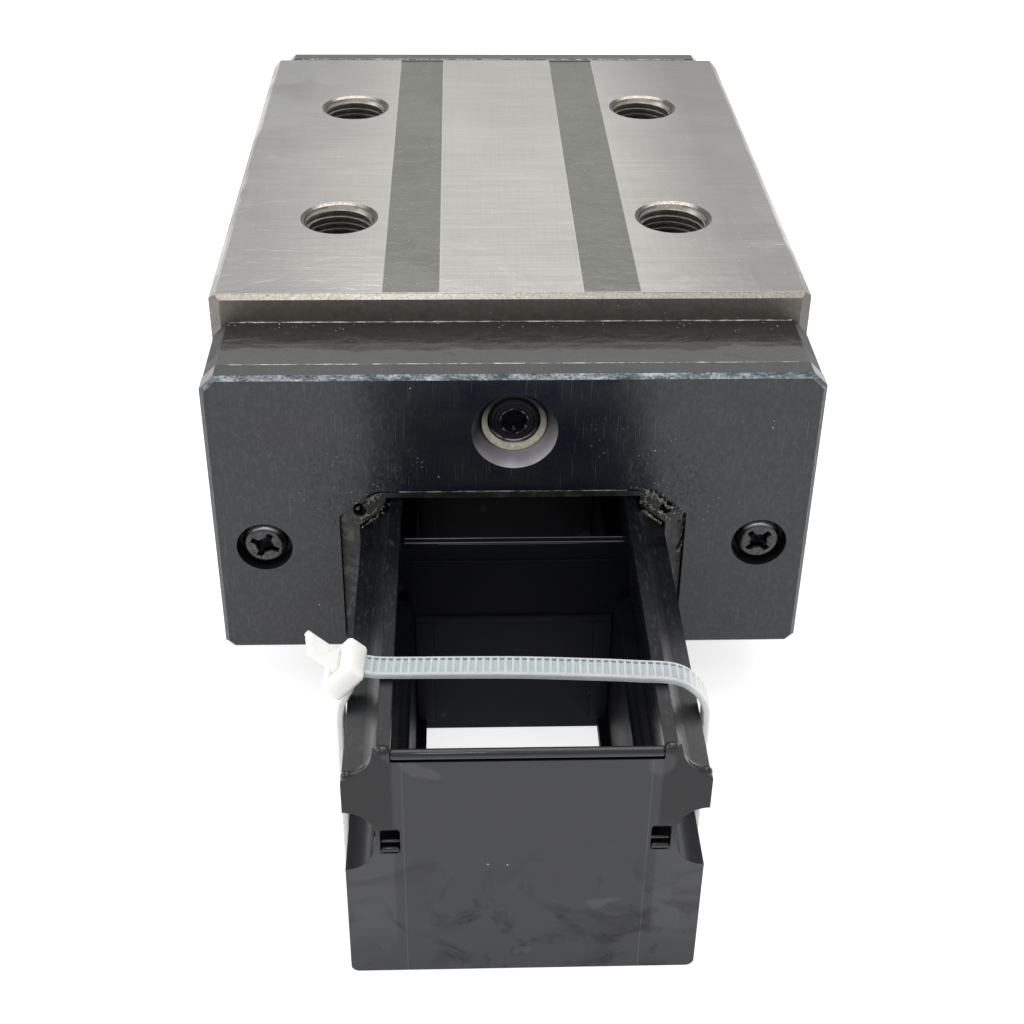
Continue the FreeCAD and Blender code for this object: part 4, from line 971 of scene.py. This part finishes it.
def add_panel(mesh, along, way, left, right, bottom, top, thickness, rounding):
    """Flat panel with a rounded edge on a wall that faces way."""
    section = [(0, 0)]
    for index in range(5):
        angle = math.pi / 2 * index / 4
        section.append((thickness - rounding * (1 - math.sin(angle)), rounding * (1 - math.cos(angle))))
    rows = []
    for lift, inset in section:
        corners = ((left + inset, bottom + inset), (right - inset, bottom + inset),
                   (right - inset, top - inset), (left + inset, top - inset))
        rows.append(add_ring(mesh, [(across, along + way * lift, up) for across, up in corners]))
    skin(mesh, rows)


def make_wall_frames():
    """Low frame, fine rib and round bead on both faces of each cross wall."""
    frames = bmesh.new()
    beads = bmesh.new()
    for wall in range(-2, 3):
        for way in (-1, 1):
            along = wall * CELL_PITCH + way * CROSS_WALL / 2
            for panel in FRAME_PANELS:
                add_panel(frames, along, way, *panel)
            bead = row_across((-22.5, -11, 0, 11, 22.5), along - way * 0.25, CROSS_WALL_TOP - 0.2)
            add_tube(beads, bead, 0.33, 12)
    sharpen(new_piece("wall_frames", frames, "rail", RAIL))
    new_piece("wall_beads", beads, "rail", RAIL_GLOSS)


# ---- grease ----


def melt(item, voxel):
    """Joins the lumps of a piece into one skin."""
    modifier = item.modifiers.new("melt", "REMESH")
    modifier.mode = "VOXEL"
    modifier.voxel_size = voxel * MM
    modifier.use_smooth_shade = True
    graph = bpy.context.evaluated_depsgraph_get()
    melted = bpy.data.meshes.new_from_object(item.evaluated_get(graph))
    item.modifiers.clear()
    item.data = melted


def add_lump(mesh, centre, size, source):
    """Flattened uneven ball on a face that looks along the rail."""
    made = bmesh.ops.create_icosphere(mesh, subdivisions=3, radius=1)
    stretch = Vector((source.uniform(0.7, 1.5), source.uniform(0.35, 0.6), source.uniform(0.7, 1.5)))
    tilt = Matrix.Rotation(source.uniform(0, math.pi), 4, "Y")
    for vertex in made["verts"]:
        rough = 1 + 0.45 * noise.noise(vertex.co * 1.8 + centre)
        spot = Vector([part * factor for part, factor in zip(vertex.co, stretch)])
        vertex.co = centre + tilt @ (spot * rough * size)


GREASE_RUNS = (
    # start and end (across, up), depth behind the plate's face, lump size, number of lumps
    ((26.9, 50.3), (31.6, 46.2), 1.35, 0.36, 30),
    ((26.4, 53.0), (33.0, 48.0), 1.05, 0.32, 30),
    ((27.0, 55.2), (34.8, 50.2), 1.05, 0.30, 30),
    ((36.0, 51.0), (29.6, 56.8), 0.35, 0.28, 20),
    ((31.0, 57.3), (23.0, 57.5), 0.10, 0.26, 18),
    ((25.6, 56.6), (30.5, 53.6), 1.05, 0.30, 24),
    ((35.6, 36.0), (35.9, 50.0), 1.05, 0.24, 26),
    ((32.8, 45.0), (34.6, 36.0), 1.05, 0.22, 16),
)


def make_grease(end, way, hand, side, amount):
    source = random.Random(f"{end} {hand}")
    mesh = bmesh.new()
    face = way * PLATE_FACE
    for start, finish, depth, size, count in GREASE_RUNS:
        for index in range(max(3, round(count * amount))):
            share = (index + source.uniform(-0.3, 0.3)) / count / amount
            across = start[0] + (finish[0] - start[0]) * share + source.gauss(0, 0.35)
            up = start[1] + (finish[1] - start[1]) * share + source.gauss(0, 0.35)
            centre = Vector((side * across, face - way * (depth + source.uniform(-0.05, 0.15)), up))
            add_lump(mesh, centre, size * source.uniform(0.45, 1.1) * amount, source)
    melt(new_piece(f"grease_{end}_{hand}", mesh, "carriage", GREASE), 0.17)


LIP_DEPTH = 1.45
LIP_LEVEL = 55.65


def make_seal_lip(end, way):
    """Lip along the upper edge of an end seal's opening, a thin pale rod as a painted highlight line.
    """
    mesh = bmesh.new()
    path = row_across((-23.4, -11.7, 0, 11.7, 23.4), way * (PLATE_FACE - LIP_DEPTH), LIP_LEVEL)
    add_tube(mesh, path, 0.2, 12)
    new_piece(f"seal_lip_{end}", mesh, "carriage", OIL)


FILM_STEPS = 260
JOINT_REACH = 58.8
SEAM_REACH = 57.0


def make_joint_film(name, along, reach):
    """Thin uneven bead of oil along a joint that runs across the carriage."""
    source = random.Random(name)
    mesh = bmesh.new()
    rows = []
    for step in range(FILM_STEPS + 1):
        across = -reach + 2 * reach * step / FILM_STEPS
        size = 0.13 + 0.10 * max(0, noise.noise(Vector((across * 0.45, along, 0))))
        size += source.uniform(0, 0.03)
        rows.append(add_ring(mesh, [
            (across, along + size * math.cos(turn), CAP_TOP + size * math.sin(turn))
            for turn in full_turn(8)]))
    skin(mesh, rows)
    new_piece(name, mesh, "carriage", OIL)


# ---- everything together ----

STEEL = ground_steel()
CAP = cap_plastic()
PLATE = plate_black()
RAIL = rail_plastic()
RAIL_GLOSS = rail_gloss()
SEAL = seal_rubber()
SCREW = screw_black()
PLUG = plug_black()
BUSH = bush_steel()
RING = ring_cream()
GUIDE = guide_plastic()
WIRE = wire_steel()
BALL = ball_steel()
TIE = tie_nylon()
GREASE = grease()
OIL = oil_film()

FINISHES = {
    "slide_body": STEEL, "end_cap": CAP, "end_plate": PLATE, "end_seal": SEAL, "bottom_seal": SEAL,
    "end_screws": SCREW, "grease_bush": BUSH, "grease_ring": RING, "grease_plug": PLUG,
    "return_guides": GUIDE, "ball_retainer": GUIDE, "retaining_wire": WIRE, "ball_circuit": BALL,
    "dummy_rail": RAIL, "cable_tie": TIE,
}
for name, node in nodes.items():
    finish = next(finish for start, finish in FINISHES.items() if name.startswith(start))
    for slot in node.material_slots:
        slot.material = finish.material

for number, (across, along) in enumerate(BOLT_PLACES, start=1):
    make_thread(f"thread_{number}", across, along)
for end, way, turn, amount in (("front", -1, 0, 1.0), ("rear", 1, math.pi, 0.7)):
    make_end_fittings(end, turn)
    make_rail_trim(end, way)
    make_joint_film(f"joint_film_{end}", way * (block_high.y + 0.12), JOINT_REACH)
    make_joint_film(f"seam_film_{end}", way * PLATE_BACK, SEAM_REACH)
    for hand, side, share in (("left", -1, 1.0), ("right", 1, 1.25)):
        make_grease(end, way, hand, side, amount * share)
    make_seal_lip(end, way)
make_cable_tie()
make_wall_frames()


# ---- camera, light and floor ----

CAMERA_PLACE = (-10.852, -361.779, 238.030)
CAMERA_YAW = -0.03887
CAMERA_PITCH = 0.56367
CAMERA_ROLL = 0.01383
FOCAL_SHARE = 1562.456 / 1024
SHIFT_UP = -77 / 1024
SENSOR = 36
LIGHTS_AIM = (0, 0, 0.05)
scene = bpy.context.scene


def make_camera():
    data = bpy.data.cameras.new("camera")
    data.sensor_width = SENSOR
    data.lens = SENSOR * FOCAL_SHARE
    data.shift_y = SHIFT_UP
    data.clip_start = 0.01
    data.clip_end = 20
    camera = bpy.data.objects.new("camera", data)
    scene.collection.objects.link(camera)
    turn = Matrix.Rotation(CAMERA_YAW, 4, "Z")
    turn = turn @ Matrix.Rotation(math.pi / 2 - CAMERA_PITCH, 4, "X")
    turn = turn @ Matrix.Rotation(CAMERA_ROLL, 4, "Z")
    camera.matrix_world = Matrix.Translation(Vector(CAMERA_PLACE) * MM) @ turn
    scene.camera = camera


def make_light(name, place, size, power):
    """Square soft light turned to the object; its place and size are in metres."""
    data = bpy.data.lights.new(name, "AREA")
    data.size = size
    data.energy = power
    light = bpy.data.objects.new(name, data)
    scene.collection.objects.link(light)
    light.location = place
    light.rotation_mode = "QUATERNION"
    light.rotation_quaternion = (Vector(LIGHTS_AIM) - Vector(place)).to_track_quat("-Z", "Y")


def make_floor():
    data = bpy.data.meshes.new("floor")
    mesh = bmesh.new()
    bmesh.ops.create_grid(mesh, x_segments=1, y_segments=1, size=6)
    mesh.to_mesh(data)
    mesh.free()
    floor = bpy.data.objects.new("floor", data)
    scene.collection.objects.link(floor)
    floor.location.z = -0.0002
    f = Finish("floor")
    f.set(Base_Color=f.blend(f.noise(400, 2), (0.60, 0.60, 0.60), (0.64, 0.64, 0.64)), Roughness=0.9,
          Emission_Color=(1.0, 1.0, 1.0), Emission_Strength=0.69)
    data.materials.append(f.material)


make_camera()
make_floor()
make_light("sky", (0.1, 0.35, 1.5), 1.4, 12)
make_light("left", (-1.3, -0.3, 0.9), 0.9, 5)
make_light("front", (-0.1, -0.75, 1.15), 0.22, 1.2)
world = bpy.data.worlds.new("studio")
world.use_nodes = True
background = world.node_tree.nodes["Background"]
background.inputs["Color"].default_value = (1, 1, 1, 1)
background.inputs["Strength"].default_value = 0.85
scene.world = world
scene.view_settings.view_transform = "Standard"
